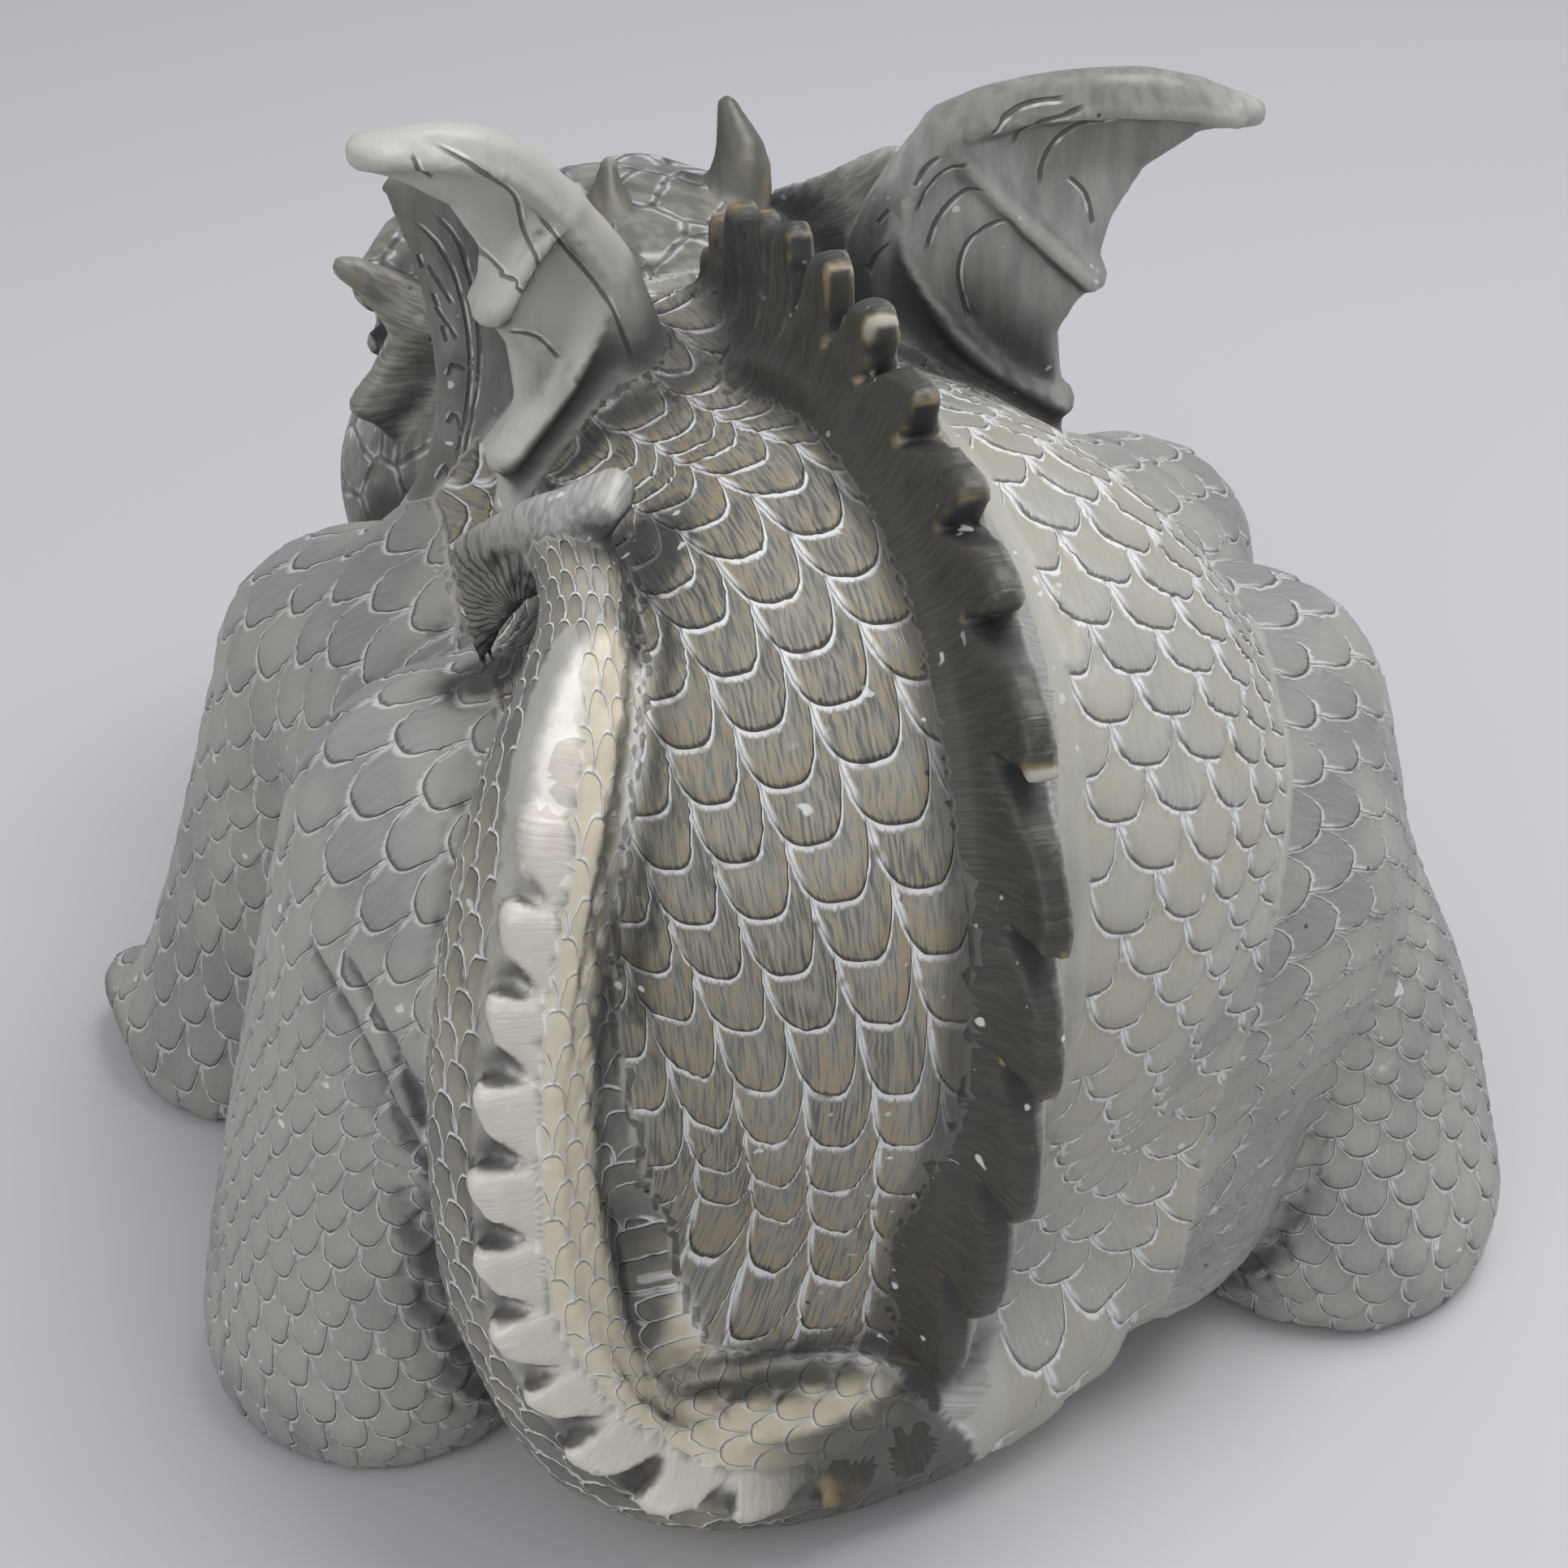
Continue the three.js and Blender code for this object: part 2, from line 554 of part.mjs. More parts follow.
class Queue {
  constructor() { this.items = []; }
  push(item) {
    const { items } = this;
    let at = items.push(item) - 1;
    while (at > 0) {
      const up = (at - 1) >> 1;
      if (items[up].cost <= items[at].cost) break;
      [items[up], items[at]] = [items[at], items[up]];
      at = up;
    }
  }
  pop() {
    const { items } = this;
    const first = items[0];
    const last = items.pop();
    if (items.length) {
      items[0] = last;
      for (let at = 0; ;) {
        let least = at;
        for (const down of [2 * at + 1, 2 * at + 2]) {
          if (down < items.length && items[down].cost < items[least].cost) least = down;
        }
        if (least === at) break;
        [items[least], items[at]] = [items[at], items[least]];
        at = least;
      }
    }
    return first;
  }
}

function faceNormal(a, b, c) {
  const ux = b[0] - a[0], uy = b[1] - a[1], uz = b[2] - a[2];
  const vx = c[0] - a[0], vy = c[1] - a[1], vz = c[2] - a[2];
  return [uy * vz - uz * vy, uz * vx - ux * vz, ux * vy - uy * vx];
}

function simplify({ points, faces }, limit) {
  const planes = new Float64Array(points.length * PLANE);
  const around = points.map(() => new Set());
  const version = new Int32Array(points.length);
  const alive = faces.map(() => true);
  const grounded = points.map((point) => point[2] <= FLOOR + 1e-6);
  faces.forEach((face, f) => {
    const [nx, ny, nz] = faceNormal(...face.map((at) => points[at]));
    const area = Math.hypot(nx, ny, nz) || 1e-12;
    const [a, b, c] = [nx / area, ny / area, nz / area];
    const d = -(a * points[face[0]][0] + b * points[face[0]][1] + c * points[face[0]][2]);
    const terms = [a * a, a * b, a * c, a * d, b * b, b * c, b * d, c * c, c * d, d * d];
    for (const at of face) {
      around[at].add(f);
      terms.forEach((term, i) => { planes[at * PLANE + i] += term * area; });
    }
  });
  const neighbours = (at) => {
    const found = new Set();
    for (const f of around[at]) for (const other of faces[f]) if (other !== at) found.add(other);
    return found;
  };
  const plan = (a, b) => {
    const q = new Float64Array(PLANE);
    for (let i = 0; i < PLANE; i++) q[i] = planes[a * PLANE + i] + planes[b * PLANE + i];
    const place = bestPlace(q, points[a], points[b]);
    if (grounded[a] || grounded[b]) place[2] = FLOOR;
    const length = Math.hypot(...points[a].map((value, axis) => value - points[b][axis]));
    const cost = planeError(q, place) + SLIVER * length ** 2;
    return { a, b, cost, place, at: [version[a], version[b]] };
  };
  const flips = (at, other, place) => [...around[at]].some((f) => {
    const face = faces[f];
    if (face.includes(other)) return false;
    const before = faceNormal(...face.map((corner) => points[corner]));
    const after = faceNormal(...face.map((corner) => (corner === at ? place : points[corner])));
    const dot = before[0] * after[0] + before[1] * after[1] + before[2] * after[2];
    return dot < TURN_LIMIT * Math.hypot(...before) * Math.hypot(...after) || Math.hypot(...after) < 1e-5;
  });
  const queue = new Queue();
  points.forEach((_, a) => neighbours(a).forEach((b) => { if (a < b) queue.push(plan(a, b)); }));
  let left = faces.length;
  while (left > limit && queue.items.length) {
    const { a, b, place, at } = queue.pop();
    if (version[a] !== at[0] || version[b] !== at[1]) continue;
    const near = neighbours(b);
    const shared = [...neighbours(a)].filter((corner) => near.has(corner));
    if (shared.length !== 2 || flips(a, b, place) || flips(b, a, place)) continue;
    points[a] = place;
    grounded[a] = grounded[a] || grounded[b];
    for (let i = 0; i < PLANE; i++) planes[a * PLANE + i] += planes[b * PLANE + i];
    for (const f of around[b]) {
      if (faces[f].includes(a)) {
        alive[f] = false;
        left -= 1;
        faces[f].forEach((corner) => { if (corner !== b) around[corner].delete(f); });
      } else {
        faces[f] = faces[f].map((corner) => (corner === b ? a : corner));
        around[a].add(f);
      }
    }
    around[b].clear();
    version[b] = -1;
    version[a] += 1;
    for (const corner of neighbours(a)) queue.push(plan(a, corner));
  }
  return { points, faces: faces.filter((_, f) => alive[f]) };
}

function planeError(q, [x, y, z]) {
  return q[0] * x * x + 2 * q[1] * x * y + 2 * q[2] * x * z + 2 * q[3] * x + q[4] * y * y
    + 2 * q[5] * y * z + 2 * q[6] * y + q[7] * z * z + 2 * q[8] * z + q[9];
}

function bestPlace(q, a, b) {
  const middle = a.map((value, axis) => (value + b[axis]) / 2);
  const matrix = new THREE.Matrix3().set(q[0], q[1], q[2], q[1], q[4], q[5], q[2], q[5], q[7]);
  const trace = q[0] + q[4] + q[7];
  if (matrix.determinant() > 1e-4 * trace ** 3) {
    const solved = new THREE.Vector3(-q[3], -q[6], -q[8]).applyMatrix3(matrix.invert());
    const place = solved.toArray();
    const reach = Math.hypot(...a.map((value, axis) => value - b[axis]));
    if (Math.hypot(...place.map((value, axis) => value - middle[axis])) < DRIFT * reach) return place;
  }
  const better = (best, place) => (planeError(q, place) < planeError(q, best) ? place : best);
  return [middle, [...a], [...b]].reduce(better);
}

// The finished solid, in millimetres, with its origin under the middle of its box

function solid({ points, faces }) {
  const used = new Map();
  const positions = [];
  const corner = (at) => {
    if (!used.has(at)) {
      used.set(at, positions.length / 3);
      positions.push(...points[at].map((value) => value * UNIT));
    }
    return used.get(at);
  };
  const indices = faces.flatMap((face) => face.map(corner));
  const geometry = new THREE.BufferGeometry();
  geometry.setAttribute('position', new THREE.Float32BufferAttribute(positions, 3));
  geometry.setIndex(indices);
  geometry.computeBoundingBox();
  const centre = geometry.boundingBox.getCenter(new THREE.Vector3());
  geometry.translate(-centre.x, -centre.y, -geometry.boundingBox.min.z);
  geometry.computeVertexNormals();
  return geometry;
}

const stone = new THREE.MeshStandardMaterial({ color: 0x9c9a90, roughness: 0.72, metalness: 0 });
const dragon = new THREE.Mesh(solid(simplify(readSurface(), TRIANGLES)), stone);
dragon.name = 'dragon';

const group = new THREE.Group();
group.add(dragon);

export default group;
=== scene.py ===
import math

import bpy
import numpy as np
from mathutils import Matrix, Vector

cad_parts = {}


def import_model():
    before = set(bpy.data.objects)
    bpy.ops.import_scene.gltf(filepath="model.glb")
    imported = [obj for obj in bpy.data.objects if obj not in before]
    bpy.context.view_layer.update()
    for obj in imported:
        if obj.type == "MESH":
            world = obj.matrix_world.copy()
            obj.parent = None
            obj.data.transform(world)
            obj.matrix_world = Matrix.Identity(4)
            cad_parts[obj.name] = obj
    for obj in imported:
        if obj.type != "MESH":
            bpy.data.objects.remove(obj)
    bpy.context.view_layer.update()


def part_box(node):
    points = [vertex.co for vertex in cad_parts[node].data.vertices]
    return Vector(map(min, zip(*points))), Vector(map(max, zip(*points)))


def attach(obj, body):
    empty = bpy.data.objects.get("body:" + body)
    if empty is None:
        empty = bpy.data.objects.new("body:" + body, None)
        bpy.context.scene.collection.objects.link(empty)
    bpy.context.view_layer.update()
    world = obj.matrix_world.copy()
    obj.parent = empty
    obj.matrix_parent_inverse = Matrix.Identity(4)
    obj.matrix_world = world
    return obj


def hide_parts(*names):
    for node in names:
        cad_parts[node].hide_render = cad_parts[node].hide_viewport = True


# Crouching dragon of cast stone. Its form is laid out in hundredths of its height, with the
# head towards -Y and the left side at +X, and is read off as one skin that the scales,
# plates and folds are carved into. The skin then takes the size and place of the solid.

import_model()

LOW, HIGH = (np.array(corner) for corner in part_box("dragon"))
UNIT = float(HIGH[2] - LOW[2]) / 100
MILLIMETRE = 0.001 / UNIT

CELL = 0.62      # lattice cell that the skin is read at
FACES = 195_000
STEPS = 4                               # straight pieces in each span of a curve
CLEAR = 9.0                             # past this a sheet or ridge is only roughly measured
EDGE = 2.0 * MILLIMETRE                 # worn rounding of plates and fans
FAR = 50.0


# Curves and outlines

def sampled(rows, steps=STEPS):
    """Points along a smooth curve through the rows."""
    rows = np.array(rows, float)
    ends = [2 * rows[0] - rows[1], *rows, 2 * rows[-1] - rows[-2]]
    points = []
    for a, b, c, d in zip(ends, ends[1:], ends[2:], ends[3:]):
        for t in np.arange(steps) / steps:
            m, n = (c - a) / 2, (d - b) / 2
            points.append(b + m * t + (3 * c - 3 * b - 2 * m - n) * t**2 + (2 * b - 2 * c + m + n) * t**3)
    return np.array([*points, rows[-1]])


def lengths_along(points):
    return np.concatenate([[0], np.cumsum(np.linalg.norm(np.diff(points, axis=0), axis=1))])


def unit(v):
    v = np.asarray(v, float)
    return v / np.maximum(np.linalg.norm(v, axis=-1, keepdims=True), 1e-9)


def smooth(low, high, value):
    t = np.clip((value - low) / (high - low), 0, 1)
    return t * t * (3 - 2 * t)


def nearest_on(points, p):
    """Nearest span, place in that span and gap for each of many places p."""
    span = np.zeros(len(p), int)
    place = np.zeros(len(p))
    best = np.full(len(p), 1e9)
    for i, (a, b) in enumerate(zip(points, points[1:])):
        d = b - a
        w = p - a
        t = np.clip(w @ d / (d @ d), 0, 1)
        w -= t[:, None] * d
        gap = np.einsum("ij,ij->i", w, w)
        closer = gap < best
        span[closer], place[closer], best[closer] = i, t[closer], gap[closer]
    return span, place, np.sqrt(best)


def outline_distance(outline, u, v):
    """Signed distance in a plane to a closed outline, negative inside."""
    gap = np.full(len(u), 1e9)
    sign = np.ones(len(u))
    for (x0, y0), (x1, y1) in zip([outline[-1], *outline], outline):
        ex, ey = x1 - x0, y1 - y0
        wx, wy = u - x0, v - y0
        t = np.clip((wx * ex + wy * ey) / (ex * ex + ey * ey), 0, 1)
        gap = np.minimum(gap, (wx - ex * t) ** 2 + (wy - ey * t) ** 2)
        above, below, left = v >= y0, v < y1, ex * wy > ey * wx
        sign[(above & below & left) | (~above & ~below & ~left)] *= -1
    return sign * np.sqrt(gap)


def slab(flat, side):
    a, b = flat + EDGE, side + EDGE
    return np.hypot(np.maximum(a, 0), np.maximum(b, 0)) + np.minimum(np.maximum(a, b), 0) - EDGE


# Forms: each has a blend width, a distance from many places and a box

class Form:
    def __init__(self, blend, distance, points, margin):
        self.blend, self.distance = blend, distance
        self.low, self.high = np.min(points, 0) - margin, np.max(points, 0) + margin

    def touches(self, low, high):
        return bool(np.all(self.low < high) and np.all(self.high > low))


def limb(blend, rows):
    run = sampled(rows)
    points, radii = run[:, :3], run[:, 3]

    def distance(p):
        best = np.full(len(p), 1e9)
        for a, b, r, s in zip(points, points[1:], radii, radii[1:]):
            d = b - a
            w = p - a
            t = np.clip(w @ d / (d @ d), 0, 1)
            w -= t[:, None] * d
            best = np.minimum(best, np.sqrt(np.einsum("ij,ij->i", w, w)) - r - t * (s - r))
        return best

    return Form(blend, distance, points, radii.max())


def mass(blend, centre, radii, turn=0.0):
    cos, sin = math.cos(math.radians(turn)), math.sin(math.radians(turn))
    turned = np.array([[cos, -sin, 0], [sin, cos, 0], [0, 0, 1]])
    radii = np.array(radii, float)

    def distance(p):
        q = (p - centre) @ turned / radii
        near = np.linalg.norm(q, axis=1)
        slope = np.maximum(np.linalg.norm(q / radii, axis=1), 1e-6)
        return near * (near - 1) / slope

    return Form(blend, distance, np.array([centre]), radii.max())


class Sheet(Form):
    """Plate cut to an outline on a turned plane and bowed by a rule."""

    def __init__(self, blend, origin, along, up, outline, thickness, bow=lambda u: 0 * u):
        self.origin = np.array(origin, float)
        self.u = unit(along)
        self.v = unit(np.array(up, float) - np.dot(up, self.u) * self.u)
        self.n = np.cross(self.u, self.v)
        self.outline, self.half, self.bow = outline, thickness / 2, bow
        corners = [self.origin + a * self.u + b * self.v for a, b in outline]
        super().__init__(blend, self.measure, np.array(corners), 6)

    def places(self, p):
        off = p - self.origin
        a, b = off @ self.u, off @ self.v
        return a, b, off @ self.n - self.bow(a)

    def measure(self, p):
        a, b, c = self.places(p)
        result = np.abs(c) - self.half
        near = result < CLEAR
        result[near] = slab(outline_distance(self.outline, a[near], b[near]), result[near])
        return result


class Ridge(Form):
    """Toothed ridge that stands along a curve, from rows of place and lean."""

    def __init__(self, blend, rows, outline, half):
        self.points = sampled([row[:3] for row in rows])
        self.lean = sampled([row[3:] for row in rows])
        self.run = lengths_along(self.points)
        self.outline, self.half = outline, half
        self.reach = max(v for _, v in outline)
        super().__init__(blend, self.measure, self.points, self.reach + 2)

    def places(self, p, span=None, t=None):
        """Length along the ridge, rise over its foot and signed offset from its middle."""
        if span is None:
            span, t, _ = nearest_on(self.points, p)
        a, b = self.points[span], self.points[span + 1]
        tangent = unit(b - a)
        n = self.lean[span] * (1 - t[:, None]) + self.lean[span + 1] * t[:, None]
        n = unit(n - np.einsum("ij,ij->i", n, tangent)[:, None] * tangent)
        off = p - a - (b - a) * t[:, None]
        ahead = np.einsum("ij,ij->i", off, tangent)
        s = self.run[span] + t * (self.run[span + 1] - self.run[span]) + ahead
        v = np.einsum("ij,ij->i", off, n)
        return s, v, np.einsum("ij,ij->i", off, np.cross(tangent, n))

    def measure(self, p):
        span, t, gap = nearest_on(self.points, p)
        result = gap - self.reach
        near = gap <= 2 * self.reach
        s, v, w = self.places(p[near], span[near], t[near])
        result[near] = slab(outline_distance(self.outline, s, v), np.abs(w) - self.half(v))
        return result


# Body: rump, back, shoulders, neck and the belly that rests on the floor

MIDDLE = -2.0


def flip(row):
    return [2 * MIDDLE - row[0], *row[1:]]


body = [
    mass(0, [-3, 22, 51], [30, 31, 32]),
    mass(6, [-3, 22.5, 27], [25, 24, 27]),
    mass(8, [-1, -5, 52], [27, 27, 27.5]),
    mass(8, [-1, 2, 24], [30, 30, 30]),
    limb(8, [[0, -16, 52, 20], [1, -26, 52, 19], [3, -36, 54, 18]]),
    limb(8, [[0, -20, 34, 20], [0, -19, 20, 19], [0, -16, 8, 18]]),
]


def toe(at, x, y):
    claw = 11 * MILLIMETRE / 2
    finger = [[x - 0.8, y + 9, 6.2, 3.4], [x, y + 2, 5.2, 3.7], [x, y, 3.4, 3.5]]
    nail = [
        [x, y - 2.2, 4, claw],
        [x + 0.2, y - 5.4, 2.6, claw * 0.8],
        [x + 0.3, y - 7.6, 0.8, claw * 0.35],
    ]
    return limb(0.9, [at(row) for row in finger]), limb(0.5, [at(row) for row in nail])


def hind_leg(side):
    at = (lambda row: row) if side > 0 else flip
    stray = 0 if side > 0 else 2.5
    shin = [
        [28.5, 18, 51, 13],
        [31.5, 18, 37, 13.5],
        [35.5 + stray, 18.5 + stray / 2, 20, 14],
        [37.5 + stray, 18.5 + 2 * stray, 5, 15],
    ]
    bulk = [
        mass(3.5, at([19.5, 20, 41]), [22.5, 23, 23.5]),
        mass(5, at([16, 24, 20]), [18.5, 19, 20]),
        limb(2.6, [at(row) for row in shin]),
    ]
    return bulk, [toe(at, x + stray, y) for x, y in ([29.5, 1], [37, -1], [44.5, 1.5])]


def front_leg(side):
    at = (lambda row: row) if side > 0 else flip
    shin = [
        [32, -16, 45.5, 12.2],
        [36, -18.5, 33, 11.2],
        [40.5, -20.5, 18, 11],
        [44, -22, 6, 11.5],
    ]
    bulk = [
        mass(5, at([24, -8, 44]), [16, 17, 18]),
        limb(2.6, [at(row) for row in shin]),
        mass(4, at([45, -24, 3]), [11.5, 11.5, 9]),
    ]
    toes = ([37, -33.5], [43.2, -35.5], [49.4, -34.5], [54.4, -30])
    return bulk, [toe(at, x, y) for x, y in toes]


# Head: broad skull with jowls, snout, jaw, brows, eyes, horns and webbed ears

LOOK = 18.0
HEAD = np.array([4.0, -42.0, 57.0])


def on_head(row):
    turn = math.radians(LOOK)
    side, front, height, *rest = row
    x = HEAD[0] + side * math.cos(turn) + front * math.sin(turn)
    y = HEAD[1] + side * math.sin(turn) - front * math.cos(turn)
    return [x, y, HEAD[2] + height, *rest]


def face(side):
    def at(row):
        return on_head([side * row[0], *row[1:]])

    return [
        mass(5, at([16, 0, -8]), [11, 14, 13], LOOK),
        limb(1.6, [at([4.6, 22, -1.5, 4]), at([5.2, 28, -3, 3.6])]),
        mass(0.8, at([11.5, 15.5, 4]), [5.2, 5.2, 5.2]),
        limb(1.8, [at([5.5, 18.5, 5.5, 2.2]), at([11, 17.5, 9.6, 3]), at([17.5, 12.5, 8.5, 2.6])]),
        limb(1, [at([9.5, 20.5, 0.6, 1.2]), at([14, 18.5, 0.4, 1.4]), at([17.5, 14, 2, 1.2])]),
    ]


skull = [
    mass(6, HEAD, [21, 21, 19], LOOK),
    limb(5, [on_head(row) for row in ([0, 8, -4, 13], [0, 16, -7, 11], [0, 23, -8.5, 9.6])]),
    limb(1.4, [on_head(row) for row in ([0, 8, -16, 11], [0, 15, -18, 8.6], [0, 20.5, -18, 6.8])]),
    *face(1),
    *face(-1),
]


def horn(base, middle, tip, size):
    return limb(1.6, [[*base, size / 2], [*middle, size * 0.33], [*tip, size * 0.13]])


HORN = 25 * MILLIMETRE
horns = [
    horn([-5.5, -41, 69], [-8, -43, 75.5], [-7.4, -45.5, 80.6], HORN),
    horn([15, -33, 69], [18, -35, 76], [17.6, -37.5, 81.6], HORN),
    horn([5, -36, 70], [5.2, -37.5, 75], [4.6, -40, 78.5], HORN * 0.72),
    horn([5.5, -30, 68], [5.6, -30, 71.5], [5.4, -30.5, 74], HORN * 0.5),
]


def ear(root, across, rise):
    outline = [(0, -7), (3.5, -10.5), (7.5, -12.5), (6.4, -6.5), (11.2, -3),
               (7.6, 3), (11.2, 11), (5.5, 8.5), (0, 7)]

    def spine(out, lift, size):
        stop = np.array(root) + unit(across) * out + unit(rise) * lift
        return limb(0.8, [[*root, size], [*stop, size * 0.45]])

    web = Sheet(1.5, root, across, rise, outline, 8 * MILLIMETRE)
    return [web, spine(10.4, 10.2, 2.2), spine(10.4, -2.8, 2), spine(7, -11.6, 1.8)]


ears = [
    *ear([18.2, -33.5, 63.5], [0.85, 0.1, 0.1], [0.05, 0, 1]),
    *ear([-12.5, -47, 64], [-0.8, 0.35, 0.1], [-0.05, 0, 1]),
]


# Wings: each is a bowed rear panel and a front panel that meet along the inner edge

def cupped(height, middle, span):
    return lambda u: height * (1 - ((u - middle) / span) ** 2)


RIB_STANDS = 0.5                # how far the ribs lie behind the middle of a wing's rear panel


def wing(side, root, sweep, outline, bones, front):
    turn = math.radians(sweep)
    along = [side * math.cos(turn), math.sin(turn), 0]
    rear = Sheet(3, [*root, 0], along, [0, 0, 1], outline, 9 * MILLIMETRE, cupped(side * -1.6, 10, 12))

    def place(u, z, size):
        x, y, _ = rear.origin + rear.u * u + rear.n * (rear.bow(u) + math.copysign(RIB_STANDS, rear.n[1]))
        return [x, y, z, size * 10 * MILLIMETRE / 2]

    fingers = [limb(0.6, [place(*row) for row in rows]) for rows in bones]
    panel = Sheet(7, [*front, 0], [side * 0.82, -0.57, 0], [0, 0, 1], FRONT_PANEL, 9 * MILLIMETRE,
                  cupped(side * 1.5, 8, 9))
    return [rear, *fingers, panel]


FRONT_PANEL = [
    (-2, 60), (-1, 79), (3, 87), (8, 91), (15, 92), (18.6, 90), (17, 85), (16, 80),
    (15.5, 73), (15.7, 69), (16.4, 62.6), (17.5, 54), (4, 50),
]

left_wing = wing(1, [10, -5], 17, [
    (-1, 66), (-1, 78), (2, 85.5), (5.3, 90.7), (8.3, 95), (13, 99), (18, 100), (21, 99.5), (21.3, 97.8),
    (18.5, 96.5), (14.5, 94), (12.3, 90), (12.4, 85), (10.6, 81.5), (10.3, 77), (12.4, 72.8), (11, 66),
    (8, 60),
], [
    [[0, 76, 1.4], [3, 86.5, 1.3], [8.5, 94.5, 1.3], [14, 98.2, 1.2], [20.6, 98.8, 0.9]],
    [[6, 92, 1.2], [9, 90, 1], [12.2, 85.4, 0.9]],
    [[2.5, 86, 1.2], [5.5, 80, 1], [12, 73, 0.9]],
], [11, -4])

right_wing = wing(-1, [-9, -4], 20, [
    (-1, 66), (-1.5, 78), (-0.4, 85), (2.2, 91.5), (6, 96.5), (12, 99.4), (19, 100), (24, 99.2), (28.3, 97.2),
    (28, 95.8), (24.3, 95.4), (20.4, 93), (18.3, 89), (17.2, 84), (14.8, 79.5), (15.4, 73.4), (14, 67),
    (9, 60),
], [
    [[-0.4, 76, 1.4], [0.6, 86, 1.3], [5.5, 95, 1.3], [12, 98, 1.2], [20, 98.6, 1.1], [28, 96.5, 0.8]],
    [[5.8, 95.4, 1.3], [11, 90, 1.1], [17, 84.2, 0.9]],
    [[5.8, 95.4, 1.3], [2.6, 88.3, 1.1], [4.2, 83.5, 1], [9, 77.5, 0.9], [15.2, 73.6, 0.8]],
], [-10, -4])


# Crest along the back and the teeth that stand on the tail

UNDERCUT = 0.14                 # of a tooth's width


def teeth(rows, foot):
    """Outline of a row of leaf-like teeth, from each tip's place, height and the notch before it."""
    outline = [(rows[0][0] - 5, -foot), (rows[0][0] - 4, 0)]
    previous = rows[0][0] - 4
    for i, (tip, height, notch) in enumerate(rows):
        gap = tip - previous
        rise = height - notch
        start = previous - gap * (UNDERCUT if i else 0)
        outline += [
            (start, notch),
            (previous + gap * 0.14, notch + rise * 0.38),
            (previous + gap * 0.36, notch + rise * 0.74),
            (previous + gap * 0.64, notch + rise * 0.94),
            (tip - gap * 0.16, height),
            (tip, notch + rise * 0.86),
        ]
        previous = tip
    return [*outline, (previous + 2, 0), (previous + 3, -foot)]


def wedge(foot, edge, height):
    return lambda v: (foot + (edge - foot) * np.sqrt(np.clip(v / height, 0, 1))) * MILLIMETRE / 2


crest = Ridge(1.6, [
    [0, -18, 68, 0, -0.5, 1], [0, -9, 74.5, 0, -0.4, 1], [-0.5, 0, 79, 0, -0.3, 1],
    [-1, 9, 82.5, 0, -0.1, 1], [-2, 18, 84.5, 0, 0.1, 1], [-3, 26, 84, 0, 0.3, 1],
    [-4, 34, 81.5, -0.05, 0.5, 1], [-4.5, 41, 77, -0.1, 1, 1], [-4.5, 46.5, 71, -0.15, 1, 0.7],
    [-4.3, 50, 63, -0.2, 1, 0.4], [-3.8, 52, 54, -0.2, 1, 0.1], [-3.2, 51.5, 44, -0.2, 1, -0.1],
    [-2.6, 49.5, 34, -0.2, 1, -0.3], [-1.8, 46, 24, -0.1, 1, -0.3], [-1.2, 43.5, 15, 0, 1, -0.2],
    [1, 43, 8, 0.1, 1, -0.1],
], teeth([
    [3, 7.6, 0.6], [7.2, 10, 0.8], [12, 11.6, 1], [17.4, 11.6, 1.2], [24, 11, 1.4], [31.4, 10.4, 2],
    [38.8, 9.4, 2.4], [45, 8.4, 2.6], [51.5, 7.2, 2.6], [58.5, 6.8, 2.4], [65, 6.7, 2.2],
    [74, 6.6, 2], [84.5, 6.6, 2], [94, 6.4, 2], [105.5, 6.1, 1.8], [118, 5.6, 1.6], [129, 5, 1.4],
], 6), wedge(22, 8, 5))

TAIL = [
    [-9, 35, 12, 12], [-1, 40.4, 8.4, 8.6], [8, 42.8, 7.4, 7.2], [16, 42.8, 8, 6.6], [22.5, 41.4, 11, 6.4],
    [26.2, 41, 19, 6.4], [28.3, 41, 30, 6.3], [28.3, 40.5, 43, 6.1], [26.6, 38.5, 55, 5.8],
    [24, 36, 64.5, 5.2], [21.3, 32.5, 71.5, 4.2], [19.5, 27.5, 75, 3.3], [19.6, 22.5, 77, 2.8],
]

tail_teeth = Ridge(0.9, [
    [1, 45, 11.2, 0, 0.9, -0.5], [8, 47, 10.4, 0.1, 0.9, -0.5], [15, 46.8, 11, 0.35, 0.85, -0.5],
    [21, 46.2, 15, 0.7, 0.7, -0.35], [24.3, 46.3, 22, 0.9, 0.4, -0.1], [26.9, 46.3, 31, 0.95, 0.3, 0],
    [27.1, 45.8, 43, 0.95, 0.3, 0], [25.5, 43.6, 55, 0.95, 0.3, 0.05], [23, 40.7, 64.5, 0.95, 0.3, 0.1],
    [20.4, 36, 71.5, 0.95, 0.3, 0.3],
], teeth([
    [3, 4.6, 1.4], [8.5, 5.2, 1.6], [14.3, 5.4, 1.8], [20.3, 5.9, 1.2], [26.4, 5.9, 1.2], [32.6, 5.9, 1.2],
    [39, 5.9, 1.2], [45.4, 5.9, 1.2], [51.8, 5.9, 1.2], [58.2, 5.6, 1.1], [64.4, 5.2, 1], [70.4, 4.7, 0.9],
    [76, 4, 1.2], [80.6, 3.2, 1],
], 1), wedge(9, 6, 5))

